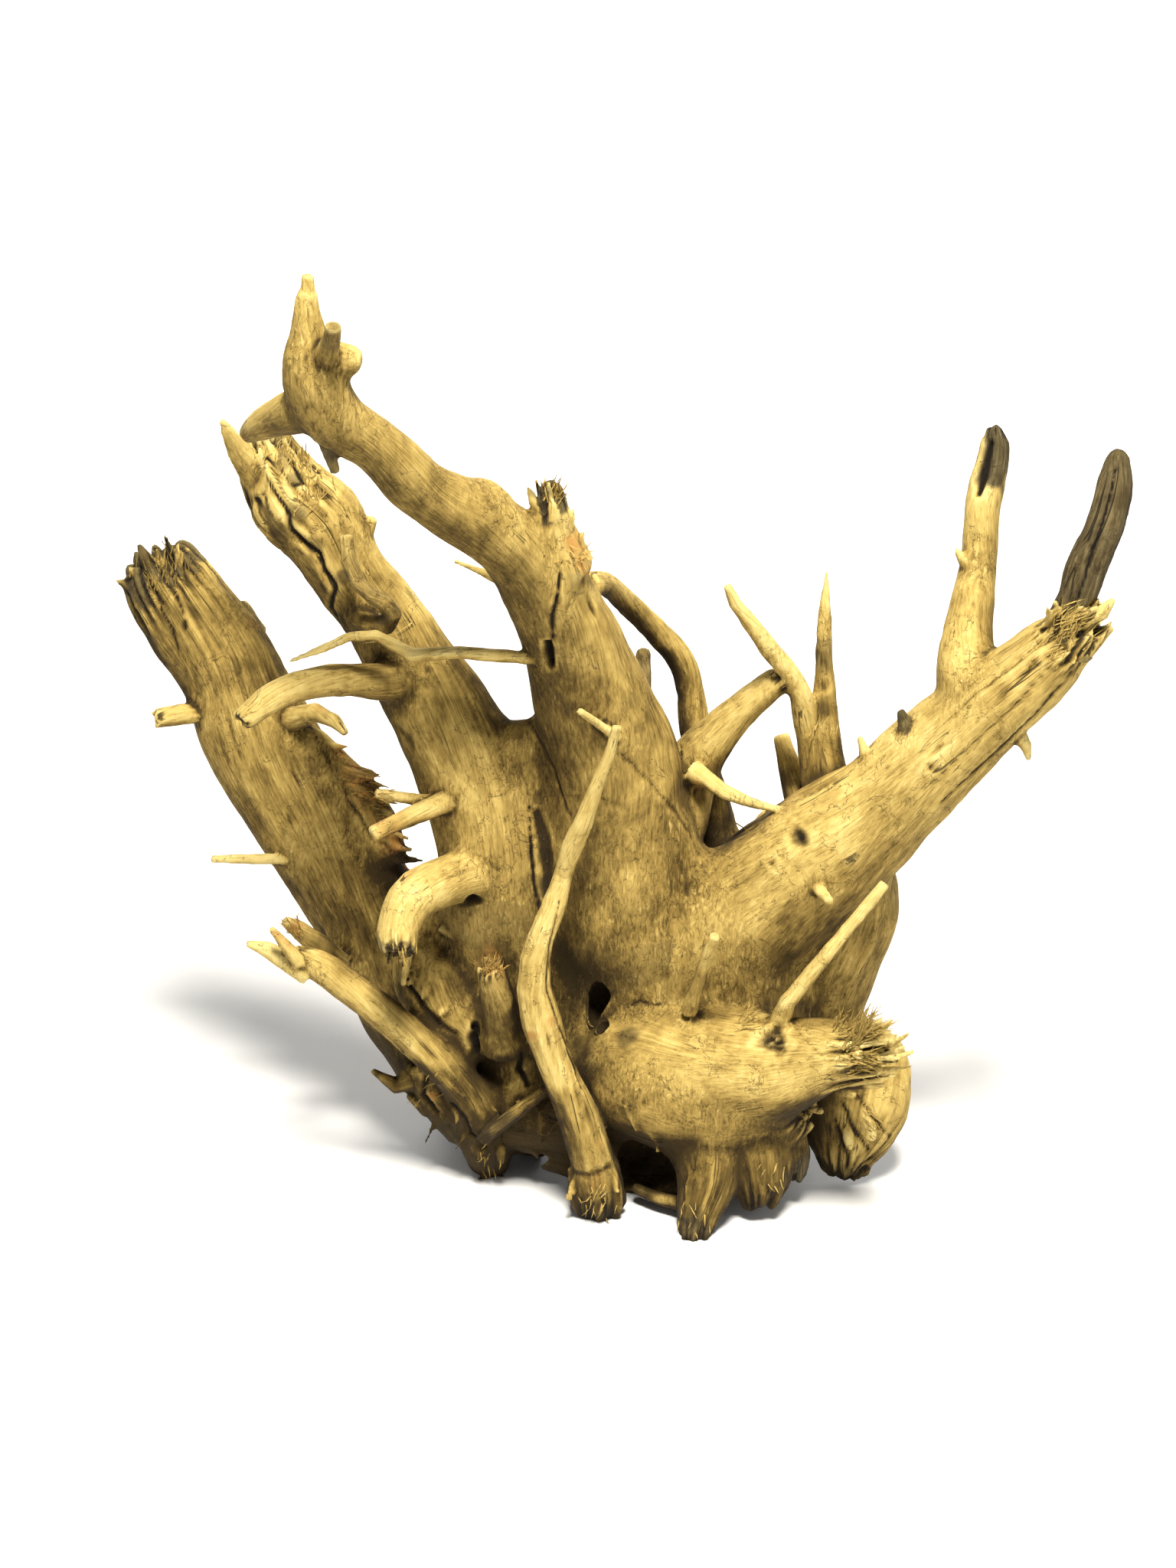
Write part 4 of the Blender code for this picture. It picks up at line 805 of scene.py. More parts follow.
def bundles(at, size):
    """Fibre bundles across the grain: each bundle's own height, and how near its edge a point is."""
    cell = np.floor(at / size).astype(np.int64)
    first, following = np.full(len(at), 9.0), np.full(len(at), 9.0)
    tall = np.zeros(len(at))
    for step in np.ndindex(3, 3, 3):
        other = cell + np.array(step) - 1
        jitter = np.stack([speckle(other + shift) for shift in (17, 59, 101)], axis=1) * 0.4 + 0.5
        gap = np.linalg.norm(at / size - other - jitter, axis=1)
        closer = gap < first
        following = np.where(closer, first, np.minimum(following, gap))
        tall = np.where(closer, speckle(other + 7), tall)
        first = np.minimum(first, gap)
    return tall, following - first


# Broken ends: the limb snapped there, so its fibre bundles stand at different heights with dark
# gaps between them. Each is (limb, whether at its start, reach, bundle size, throw), in millimetres.
broken_ends = [
    ("left_arm", True, 50.0, 11.0, 13.0), ("second_arm", True, 88.0, 8.0, 14.0),
    ("broken_stub", False, 22.0, 7.0, 8.0), ("right_arm", False, 30.0, 10.0, 9.0),
    ("nose", False, 34.0, 9.0, 12.0), ("left_spur", False, 12.0, 7.0, 5.0),
    ("front_foot", False, 26.0, 9.0, 5.0), ("second_foot", False, 20.0, 9.0, 5.0),
    ("stick_foot", False, 34.0, 10.0, 5.0), ("right_flange", False, 34.0, 9.0, 9.0),
    ("dark_lump", False, 16.0, 7.0, 5.0), ("peg", False, 12.0, 4.0, 6.0),
    ("tall_branch", False, 14.0, 7.0, 3.0), ("arm_stub", False, 8.0, 5.0, 3.0),
    ("finger", False, 6.0, 6.0, 2.0), ("fork", False, 6.0, 5.0, 2.0),
    ("lower_strut", True, 14.0, 6.0, 5.0), ("belly", False, 16.0, 9.0, 5.0),
    ("back_root", False, 24.0, 8.0, 7.0), ("back_stub", False, 22.0, 7.0, 7.0),
    ("back_spur", False, 12.0, 4.0, 4.0)]
bundle_gap = np.zeros(len(places))
slide = np.zeros((len(places), 3))
for name, at_start, reach, size, throw in broken_ends:
    chosen = np.nonzero(on_limbs((name,)))[0]
    from_end = (near["along"] if at_start else near["to_end"])[chosen]
    chosen = chosen[from_end < reach * mm]
    from_end = (near["along"] if at_start else near["to_end"])[chosen]
    fade = 1.0 - rise(from_end, 0.2 * reach * mm, reach * mm)
    tall, edge = bundles(near["cross"][chosen] + 0.0006 * ragged[chosen, None], size * mm)
    outwards = near["way"][chosen] * (-1.0 if at_start else 1.0)
    stands_out = tall * throw * mm * (1.0 - rise(from_end, 0.0, 0.6 * reach * mm))
    slide[chosen] += outwards * stands_out[:, None]
    gap = (1.0 - rise(edge, 0.04, 0.24)) * fade
    bundle_gap[chosen] = gap
    height[chosen] -= gap * size * 0.30

# The larger clefts, as routes on the front: limbs they cut, half width, depth, how black they are
# (painted shade in the cleft), and (across, up).
clefts = {
    "long_crack": (("second_arm",), 1.5, 4.0, 1.0, [
        (-222, 488), (-213, 476), (-209, 463), (-200, 452), (-191, 446), (-188, 434), (-181, 424),
        (-184, 410), (-179, 398), (-180, 386), (-177, 376)]),
    "arm_cleft": (("top_arm", "broken_stub"), 1.0, 3.6, 1.0, [
        (-33, 440), (-35, 428), (-36, 416), (-39, 404), (-39, 392), (-42, 382), (-43, 372)]),
    "twig_hole": (("top_arm",), 3.6, 8.0, 1.0, [(-43, 386), (-42, 380), (-41, 371)]),
    "palm_crack": (("top_arm", "web", "second_arm", "trunk_left", "trunk_middle"), 0.8, 2.0, 0.6, [
        (-57, 339), (-50, 327), (-44, 317), (-39, 303), (-35, 289), (-31, 280), (-27, 273)]),
    "wedge_line": (("top_arm", "second_arm", "trunk_left", "trunk_middle"), 1.0, 3.5, 0.95, [
        (-54, 284), (-53, 262), (-52, 240), (-50, 222), (-47, 208)]),
    "wedge_floor": (("top_arm", "second_arm", "trunk_left", "trunk_middle"), 5.0, 3.0, 0.35, [
        (-49, 276), (-45, 258), (-43, 240), (-43, 222)]),
    "blade_groove": (("dark_blade",), 1.4, 3.5, 1.0, [
        (304, 414), (309, 432), (315, 450), (321, 468), (325, 484), (328, 500)]),
    "branch_hollow": (("tall_branch",), 6.5, 6.0, 1.0, [
        (247, 518), (243, 508), (241, 496), (239, 486)]),
    "spur_hollow": (("left_spur", "spur_web", "second_arm"), 6.0, 10.0, 1.0, [
        (-96, 214), (-90, 216), (-84, 212)]),
    "stick_crack": (("front_stick",), 0.8, 2.0, 0.75, [
        (-34, 222), (-38, 204), (-42, 186), (-43, 160), (-36, 138), (-26, 116), (-20, 96)]),
    "edge_crack": (("sheet_edge", "right_arm", "trunk_middle", "top_arm"), 0.7, 1.6, 0.45, [
        (2, 318), (22, 299), (42, 276), (50, 262), (57, 248)]),
    "torn_edge_line": (("left_arm", "torn_edge"), 0.9, 2.0, 0.6, [
        (-198, 334), (-190, 320), (-184, 308), (-176, 297), (-174, 284), (-165, 274), (-157, 261),
        (-146, 253), (-134, 240)]),
    "fork_crack": (("fork",), 0.8, 2.2, 0.7, [(46, 320), (44, 306), (46, 292), (44, 280)]),
    "right_groove_1": (("right_arm",), 0.8, 2.2, 0.6, [
        (214, 282), (246, 312), (276, 342), (300, 368)]),
    "right_groove_2": (("right_arm",), 0.7, 2.0, 0.55, [
        (206, 292), (232, 318), (266, 350), (292, 378)]),
    "right_groove_3": (("right_arm",), 0.7, 1.8, 0.5, [
        (216, 334), (240, 356), (262, 372), (284, 392)]),
    "left_groove_1": (("left_arm",), 0.9, 2.4, 0.8, [
        (-303, 432), (-298, 421), (-296, 408), (-288, 396), (-284, 380)]),
    "left_groove_2": (("left_arm",), 0.8, 2.2, 0.7, [
        (-288, 436), (-287, 422), (-281, 408), (-279, 396)]),
    "torn_gap": (("torn_plate", "trunk_left", "second_arm", "base_left"), 3.4, 7.0, 1.0, [
        (-90, 138), (-91, 128), (-89, 118)]),
    "plate_edge": (("torn_plate", "spur_web", "second_arm", "left_arm"), 1.2, 3.5, 0.8, [
        (-134, 176), (-134, 164), (-126, 152), (-114, 138), (-102, 132)]),
    "plate_crack": (("torn_plate", "spur_web", "second_arm"), 1.0, 3.0, 0.8, [
        (-99, 200), (-93, 192), (-95, 180), (-91, 170)]),
    "base_crack_1": (("base_left", "heel", "trunk_left", "torn_plate", "peg"), 2.2, 4.0, 1.0, [
        (-59, 118), (-62, 108), (-57, 98)]),
    "base_crack_2": (("base_left", "heel", "trunk_left", "left_foot", "left_arm"), 1.8, 4.0, 1.0, [
        (-126, 118), (-120, 106), (-124, 93), (-114, 80)]),
    "base_crack_3": (("base_left", "heel", "trunk_left", "torn_plate"), 1.1, 2.5, 0.9, [
        (-78, 128), (-71, 119), (-61, 123), (-52, 114)]),
    "base_crack_4": (("base_left", "heel", "left_foot", "lower_strut"), 1.5, 3.5, 1.0, [
        (-106, 86), (-97, 78), (-93, 66), (-82, 58)]),
    "flange_groove_1": (("right_flange",), 1.2, 2.5, 0.8, [(150, 88), (157, 72), (167, 56)]),
    "flange_groove_2": (("right_flange",), 1.0, 2.2, 0.7, [(158, 94), (169, 78), (180, 66)]),
    "flange_groove_3": (("right_flange",), 1.1, 2.4, 0.8, [(145, 78), (151, 62), (154, 46)]),
    "nose_line_1": (("nose",), 0.6, 1.4, 0.5, [(120, 136), (128, 126), (136, 118), (158, 116)]),
    "brow_crack": (("nose", "trunk_middle", "trunk_right"), 0.7, 1.6, 0.6, [
        (8, 148), (18, 153), (30, 151), (42, 156), (50, 158)]),
}
cleft_shade_mask = np.zeros(len(places))
for names, half_width, cleft_depth, blackness, route in clefts.values():
    chosen = np.nonzero(on_limbs(names) & (facing > -0.15))[0]
    u, v = seen_across[chosen] + ragged[chosen] * 0.7, seen_up[chosen] + ragged[chosen] * 0.5
    gap = np.full(len(chosen), 1e3)
    total = sum(math.dist(a, b) for a, b in zip(route, route[1:]))
    run = 0.0
    for a, b in zip(route, route[1:]):
        du, dv = b[0] - a[0], b[1] - a[1]
        share = np.clip(((u - a[0]) * du + (v - a[1]) * dv) / (du * du + dv * dv), 0.0, 1.0)
        reach = np.hypot(u - a[0] - share * du, v - a[1] - share * dv)
        at = (run + share * math.dist(a, b)) / total
        width = half_width * (0.35 + 0.65 * np.sin(np.pi * np.clip(at, 0.04, 0.96)) ** 0.6)
        gap = np.minimum(gap, reach / width)
        run += math.dist(a, b)
    cut = np.zeros(len(places))
    cut[chosen] = 1.0 - rise(gap, 0.25, 1.2)
    height -= cut * cleft_depth
    cleft_shade_mask = np.maximum(cleft_shade_mask, cut * blackness)

# Knots where thin roots have rotted away: a low ring round a dark pit. (across, up, radius, pit)
knots = [
    (125, 259, 8, 0.8), (105, 243, 4, 0.5), (138, 359, 4, 0.5), (208, 306, 5, 0.4), (238, 336, 4, 0.4),
    (-121, 370, 4, 0.4), (-7, 269, 3, 0.3), (104, 128, 10, 0.7), (112, 121, 5, 0.5)]
pit_mask = np.zeros(len(places))
crumbs = drift(places * 420.0 + 19.0)
for across, up, radius, pit in knots:
    gap = np.hypot(seen_across - across, seen_up - up) / radius + ragged * 0.6 + crumbs * 0.5
    ring = np.exp(-((gap - 1.0) / 0.5) ** 2) * (facing > 0.1)
    hole = (1.0 - rise(gap, 0.1, 1.0)) * (facing > 0.1)
    height += ring * radius * 0.12 - hole * radius * (0.35 + 0.5 * crumbs) * pit
    pit_mask = np.maximum(pit_mask, hole * pit * (0.75 + 0.6 * crumbs))

edges = vertex_values(skin.edges, "vertices", 2)
links = np.bincount(edges.ravel(), minlength=len(places))


def spread(values, passes):
    """Average each vertex's values with its neighbours', several times."""
    for _ in range(passes):
        sums = [np.bincount(edges[:, 0], values[edges[:, 1], axis], len(places))
                + np.bincount(edges[:, 1], values[edges[:, 0], axis], len(places))
                for axis in range(values.shape[1])]
        values = (values + np.stack(sums, axis=1)) / (links + 1)[:, None]
    return values


smooth_normals = normals                         # of the skin before it is worn
height = spread(height[:, None], 2)[:, 0]
slide = spread(slide, 3)
# Painted shade on the undersides: faces that look down, and a little to the left, are made darker.
painted_underside_shade = rise(-smooth_normals[:, 2] - 0.25 * smooth_normals[:, 0], -0.10, 0.85)
places += normals * (height * mm)[:, None] + slide

# The ground: every foot is worn level where it stands. Nothing leaves the box of the solid.
places[:, 2] = np.maximum(places[:, 2], 0.0)
places = np.clip(places, np.array(cad_low), np.array(cad_high))
skin.vertices.foreach_set("co", places.ravel())
skin.update()
normals = vertex_values(skin.vertex_normals, "vector", 3)

# Rubbed ridges and sheltered hollows: how far each point stands out of its surroundings, near and
# wide, and how much open sky it has. Ridges go pale with wear; hollows and sheltered places get painted
# shade.
near_around = spread(places, 4)
wide_around = spread(near_around, 26)
stands_near = ((places - near_around) * normals).sum(axis=1) / mm
stands_wide = ((places - wide_around) * normals).sum(axis=1) / mm

coarse = with_modifiers(skin.copy(), ("REMESH", {"mode": "VOXEL", "voxel_size": 0.0055}))
coarse_tree = ray_tree(coarse)
coarse_places = vertex_values(coarse.vertices, "co", 3)
coarse_normals = vertex_values(coarse.vertex_normals, "vector", 3)
golden = math.pi * (3.0 - math.sqrt(5.0))
ray_count, ray_reach, lift_off = 26, 0.12, 0.004
rays = []
for k, z in enumerate(np.linspace(0.97, -0.97, ray_count)):
    ring = math.sqrt(1 - z * z)
    rays.append(Vector((ring * math.cos(golden * k), ring * math.sin(golden * k), z)))
open_sky = np.empty(len(coarse_places))
for number, (place, normal) in enumerate(zip(coarse_places, coarse_normals)):
    out = Vector(normal)
    start = Vector(place) + out * lift_off
    seen = total = 0.0
    for ray in rays:
        share = ray.dot(out)
        if share > 0.1:
            total += share
            clear_of_ground = ray.z > -0.2 or start.z > 0.10
            if clear_of_ground and coarse_tree.ray_cast(start, ray, ray_reach)[0] is None:
                seen += share
    open_sky[number] = seen / total
finder = KDTree(len(coarse_places))
for number, place in enumerate(coarse_places):
    finder.insert(place, number)
finder.balance()
shelter = np.empty(len(places))
for number, place in enumerate(places):
    found = finder.find_n(place, 3)
    weights = [1.0 / (gap + 0.0008) for _, _, gap in found]
    weighed = sum(open_sky[index] * weight for (_, index, _), weight in zip(found, weights))
    shelter[number] = weighed / sum(weights)
shelter = spread(shelter[:, None], 4)[:, 0]
bpy.data.meshes.remove(coarse)

# Colour marks, kept on the skin for its finish: dark tips, pale dry wood, torn wood that still shows
# its orange heart,
# and painted light and shade: each limb's tone, and painted shade on the undersides and near the
# ground.
# Each limb's tone, lighter or darker: partly the wood's own colour, partly painted light and shade,
# such as the brighter nose and right arm and the darker left and top arms.
limb_tones_and_light = {
    "left_arm": -0.26, "second_arm": -0.06, "top_arm": -0.30, "right_arm": 0.20, "nose": 0.34,
    "belly": 0.08, "left_spur": 0.36, "front_stick": 0.30, "pale_twig": 0.45, "pale_twig_tip": 0.5,
    "fork": 0.25, "fork_thread": 0.45, "finger": 0.0, "crossing_twig": 0.10, "tall_branch": 0.20,
    "dark_blade": -0.62, "cracked_spike": -0.40, "small_twig": 0.45, "thin_side_twig": 0.45,
    "nose_peg": 0.20, "long_side_stick": 0.45, "sheet_edge": 0.05, "lower_strut": 0.0,
    "strut_tip": 0.45, "behind_limb": -0.30, "behind_spike": -0.5, "behind_fork": -0.5,
    "head_prong": -0.05, "grey_splinter": -0.40, "dark_lump": -0.5, "right_flange": 0.25,
    "skirt_wall": -0.05, "torn_edge": -0.15, "gap_stub": 0.15, "short_twig": 0.2, "low_strip": 0.2,
    "stub_behind": 0.0, "bent_branchlet": -0.75, "web": -0.12, "spur_web": -0.10, "arm_stub": 0.15,
    "strut_back_strip": 0.2, "peg": -0.2, "down_twig": -0.4, "front_foot": -0.2, "second_foot": -0.25,
    "stick_foot": -0.1, "left_foot": -0.3, "torn_plate": -0.15, "base_front": -0.2, "base_left": -0.2,
    "heel": -0.1}
tone_and_light_list = np.array([limb_tones_and_light.get(name, 0.0) for name in limb_names])
tone = both(lambda limb: tone_and_light_list[limb["number"]])
# Painted shade: the undersides are darker.
tone -= 0.95 * painted_underside_shade
# Painted shade near the ground: below about 13 cm the wood grows darker towards the floor, except on
# these limbs.
spared_ground_shade = on_limbs(("front_stick", "nose", "low_strip", "right_flange", "skirt_wall"))
tone -= 0.50 * (1.0 - rise(places[:, 2], 0.02, 0.13)) * ~spared_ground_shade
dark_spots = [
    (138, 344, 8), (188, 340, 6), (-42, 380, 8), (-48, 488, 8), (-40, 486, 8), (-180, 402, 6),
    (-176, 430, 6), (-205, 470, 10), (-192, 452, 10), (-208, 496, 8), (-152, 402, 8), (-320, 428, 9),
    (-306, 444, 9), (-290, 446, 9), (52, 14, 12), (114, 34, 14), (-90, 130, 8), (-44, 250, 8),
    (-44, 228, 8), (-138, 184, 6), (103, 130, 7), (-80, 50, 10), (-58, 500, 5), (-36, 490, 7),
    (-10, 18, 10), (125, 259, 8), (8, 130, 10), (104, 128, 10), (-184, 508, 6), (152, 44, 9)]
orange_spots = [
    (-174, 316, 11), (-165, 301, 13), (-160, 286, 12), (-148, 266, 12), (-140, 252, 13),
    (-134, 240, 10), (-80, 182, 9), (-76, 172, 6), (-160, 298, 9), (-152, 270, 7), (-134, 252, 8),
    (-222, 196, 8), (-212, 190, 5), (-190, 345, 5), (-26, 452, 8), (-20, 436, 6), (-10, 60, 7),
    (-12, 36, 6), (-200, 508, 4), (-52, 132, 4), (54, 296, 6), (-40, 140, 4), (-118, 92, 4),
    (300, 414, 4), (-242, 520, 4), (-206, 202, 8), (-236, 398, 6)]
# Ends that have gone black with age: limb, whether at its start, how far, and how black.
blackened = [
    ("dark_blade", False, 140.0, 0.95), ("tall_branch", False, 44.0, 1.0),
    ("broken_stub", False, 12.0, 0.9), ("left_arm", True, 20.0, 0.85),
    ("cracked_spike", False, 40.0, 0.5), ("behind_spike", False, 30.0, 0.7),
    ("second_arm", True, 16.0, 0.5), ("head_prong", False, 14.0, 0.5), ("down_twig", False, 30.0, 0.7),
    ("bent_branchlet", False, 70.0, 0.3), ("dark_lump", False, 20.0, 0.9),
    ("front_foot", False, 24.0, 0.75), ("stick_foot", False, 12.0, 0.6),
    ("grey_splinter", True, 40.0, 0.5), ("head_cut_stub", False, 20.0, 0.5),
    ("thorn_1", False, 20.0, 0.9), ("left_spur", False, 8.0, 0.7), ("left_foot", False, 18.0, 0.6),
    ("right_flange", False, 6.0, 0.4)]
charred = np.zeros(len(places))
for name, at_start, reach, blackness in blackened:
    from_end = (near["along"] if at_start else near["to_end"]) / mm + 9.0 * ragged
    mask = on_limbs((name,)) * (1.0 - rise(from_end, 0.75 * reach, reach))
    charred = np.maximum(charred, mask * blackness)
# Painted light: the left-facing side of the tall branch is kept pale, not blackened.
painted_lit_side = on_limbs(("tall_branch",)) * (1.0 - rise(smooth_normals[:, 0], -0.95, -0.75))
charred *= 1.0 - painted_lit_side
snapped = 1.0 - rise(np.minimum(near["along"], near["to_end"]) - near["radius"] * 0.2, 0.001, 0.005)
# Painted shade in clefts, drying cracks, knot pits and the gaps between fibre bundles.
gap_shade = np.maximum.reduce([cleft_shade_mask, drying_cracks * 0.40, pit_mask, bundle_gap * 0.75])


def keep_mark(name, values):
    """Store one number for each vertex of the skin."""
    layer = skin.attributes.new(name, "FLOAT", "POINT")
    layer.data.foreach_set("value", values.astype(np.float32))


shares = {
    "stands_near": 0.5 + np.where(stands_near > 0, 0.75, 1.15) * stands_near / 1.2,
    "stands_wide": 0.5 + stands_wide / 6.0, "open_sky": shelter, "cleft": gap_shade,
    "tone": 0.5 + tone / 2,
    "dark": np.maximum(0.8 * seen_spot(dark_spots), 0.45 * snapped * relief),
    "charred": charred, "orange": seen_spot(orange_spots), "frayed": frayed, "solo": solo}
for name, values in shares.items():
    keep_mark(name, np.clip(values, 0.0, 1.0))
limb_shift = 0.731                               # so that no two limbs share their fibres
keep_mark("along", near["along"] + near["number"] * limb_shift)
cross_layer = skin.attributes.new("cross", "FLOAT_VECTOR", "POINT")
cross_layer.data.foreach_set("vector", near["cross"].astype(np.float32).ravel())


# Bare root wood: dry, matt and ochre, paler where it is rubbed, and olive brown where painted shade
# falls in hollows, sheltered places and undersides, with fine dark fibres along each limb. The finish
# is worked out in the material.
class Wire:
    """A shader socket that takes Python's operators."""

    def __init__(self, tree, socket):
        self.tree = tree
        self.socket = socket

    def node(self, kind, settings=None, sockets=None, out=0):
        """A node with its settings set first, then its sockets' values or links."""
        made = self.tree.nodes.new(kind)
        for key, value in (settings or {}).items():
            if key == "stops":
                ramp = made.color_ramp
                while len(ramp.elements) < len(value):
                    ramp.elements.new(0.5)
                for element, (position, colour) in zip(ramp.elements, value):
                    element.position = position
                    element.color = colour
            else:
                setattr(made, key, value)
        for key, value in (sockets or {}).items():
            if isinstance(value, Wire):
                self.tree.links.new(value.socket, made.inputs[key])
            else:
                made.inputs[key].default_value = value
        return Wire(self.tree, made.outputs[out])

    def maths(self, operation, left, right=0.0):
        return self.node("ShaderNodeMath", {"operation": operation}, {0: left, 1: right})

    def __add__(self, other):
        return self.maths("ADD", self, other)

    def __radd__(self, other):
        return self.maths("ADD", other, self)

    def __sub__(self, other):
        return self.maths("SUBTRACT", self, other)

    def __rsub__(self, other):
        return self.maths("SUBTRACT", other, self)

    def __mul__(self, other):
        return self.maths("MULTIPLY", self, other)

    def __rmul__(self, other):
        return self.maths("MULTIPLY", other, self)


def mixed(share, one, other):
    """Mix two colours, each a wire or four numbers, by the share that a wire gives."""
    return share.node("ShaderNodeMix", {"data_type": "RGBA"}, {0: share, 6: one, 7: other}, out=2)


def stepped(wire, low, high):
    """A smooth step from 0 to 1 between low and high."""
    return wire.node("ShaderNodeMapRange", {"interpolation_type": "SMOOTHSTEP"},
                     {"Value": wire, "From Min": low, "From Max": high})


root_wood = bpy.data.materials.new("weathered_root_wood")
root_wood.use_nodes = True
tree = root_wood.node_tree
shader = tree.nodes["Principled BSDF"]
start = Wire(tree, None)


def mark(name, out=2):
    """A value kept on the skin."""
    return start.node("ShaderNodeAttribute", {"attribute_name": name}, out=out)


def noise_on(where, scale, detail, rough, swirl=0.0):
    """Blender's noise, from 0 to 1, on a vector."""
    return start.node("ShaderNodeTexNoise", None, {
        "Vector": where, "Scale": scale, "Detail": detail, "Roughness": rough, "Distortion": swirl})


def drawn_out(stretch):
    """The place across the grain, with the way along it drawn out."""
    along = mark("along") * (1.0 / stretch)
    slid = start.node("ShaderNodeCombineXYZ", None, {0: along * 0.61, 1: along * 0.53, 2: along * 0.59})
    return start.node("ShaderNodeVectorMath", {"operation": "ADD"}, {0: mark("cross", out=1), 1: slid})


where = start.node("ShaderNodeTexCoord", out=3)
upright = start.node("ShaderNodeMapping", None, {"Vector": where, "Scale": (1.0, 1.0, 0.30)})
solo_mark, frayed_mark, gap_shade_mark = mark("solo"), mark("frayed"), mark("cleft")
# The tone mark holds each limb's tone together with its painted light and shade.
tone_and_shade_mark, dark_mark = mark("tone"), mark("dark")
orange_mark, charred_mark = mark("orange"), mark("charred")
near_mark, wide_mark, sky_mark = mark("stands_near"), mark("stands_wide"), mark("open_sky")
broad = noise_on(where, 8.0, 3.0, 0.55)
patches = noise_on(where, 34.0, 5.0, 0.62, 0.6)
suede = noise_on(upright, 460.0, 4.0, 0.68, 0.8)
fibres = noise_on(drawn_out(6.0), 620.0, 4.0, 0.68, 0.4)
strands = noise_on(drawn_out(11.0), 380.0, 4.0, 0.70)
fine = suede + solo_mark * 0.8 * (fibres - suede)
fine = fine + frayed_mark * 0.8 * (strands - fine)

# Painted light and shade in the level: paler on ridges and open faces, darker in hollows, sheltered
# places and undersides, and limb by limb through the tone mark.
level = (0.75 * tone_and_shade_mark + 0.55 * broad + 0.75 * patches + 1.05 * fine + 0.75 * near_mark
         + 0.45 * wide_mark + 0.60 * sky_mark - 2.22)
wood = start.node("ShaderNodeValToRGB", {"stops": [
    (0.0, (0.046, 0.028, 0.006, 1.0)), (0.22, (0.132, 0.084, 0.018, 1.0)),
    (0.46, (0.330, 0.222, 0.056, 1.0)), (0.68, (0.540, 0.385, 0.112, 1.0)),
    (1.0, (0.760, 0.600, 0.225, 1.0))]}, {"Fac": level})
# Near black: painted shade in pores, fissures and clefts.
painted_crack_shade = (0.007, 0.004, 0.0015, 1.0)
# Dark dirt, also used as painted shade in sheltered places and hollows.
dirt_and_shade = (0.026, 0.015, 0.0035, 1.0)
char = (0.024, 0.017, 0.007, 1.0)
ash = (0.120, 0.094, 0.048, 1.0)
pale = (0.860, 0.720, 0.360, 1.0)
heart = (0.440, 0.200, 0.045, 1.0)
wood = mixed(0.75 * orange_mark * stepped(fine + 0.5 * patches, 0.66, 0.86), wood, heart)
wood = mixed(0.80 * dark_mark * stepped(patches + 0.6 * fine + 0.5 * dark_mark, 0.85, 1.20), wood, char)
black_wood = mixed(stepped(0.7 * fine + 0.5 * patches, 0.50, 0.78), char, ash)
wood = mixed(0.94 * charred_mark, wood, black_wood)
# Painted shade in sheltered places, where little open sky is seen.
wood = mixed(0.88 * stepped(sky_mark + 0.25 * (patches - 0.5), 0.62, 0.20), wood, dirt_and_shade)
# Painted shade in hollows that sit below their surroundings.
wood = mixed(0.75 * stepped(near_mark, 0.36, 0.06), wood, dirt_and_shade)
wood = mixed(0.22 * stepped(fine, 0.42, 0.34), wood, dirt_and_shade)
pores = stepped(noise_on(drawn_out(10.0), 420.0, 2.0, 0.5), 0.335, 0.285)
pores = pores * (0.35 + 0.65 * frayed_mark) * solo_mark
# Painted shade in the pores.
wood = mixed(0.70 * pores, wood, painted_crack_shade)
layers = noise_on(where, 46.0, 5.0, 0.60, 0.5)
flakes = stepped(layers, 0.560, 0.568)
flake_edges = stepped(layers, 0.552, 0.560) * stepped(layers, 0.568, 0.560)
wood = mixed(0.62 * flake_edges, wood, dirt_and_shade)
wood = mixed(0.22 * stepped(fine, 0.63, 0.70), wood, pale)
fissures = start.maths("ABSOLUTE", noise_on(drawn_out(14.0), 80.0, 2.0, 0.5) - 0.5)
fissures = stepped(fissures, 0.011, 0.003) * stepped(patches + 0.5 * frayed_mark, 0.56, 0.68)
fissures = fissures * solo_mark
# Painted shade in the fissures and in the clefts, pits and gaps.
wood = mixed(0.80 * fissures, wood, painted_crack_shade)
wood = mixed(stepped(gap_shade_mark, 0.15, 0.85) * 0.96, wood, painted_crack_shade)
tree.links.new(wood.socket, shader.inputs["Base Color"])
roughness = 0.95 - 0.14 * fine
tree.links.new(roughness.socket, shader.inputs["Roughness"])
shader.inputs["Specular IOR Level"].default_value = 0.22
bump_height = 1.3 * fine + 0.3 * patches + 0.45 * flakes - 1.0 * fissures - 0.7 * pores
bump = start.node("ShaderNodeBump", None, {"Height": bump_height, "Strength": 0.90, "Distance": 0.0014})
tree.links.new(bump.socket, shader.inputs["Normal"])

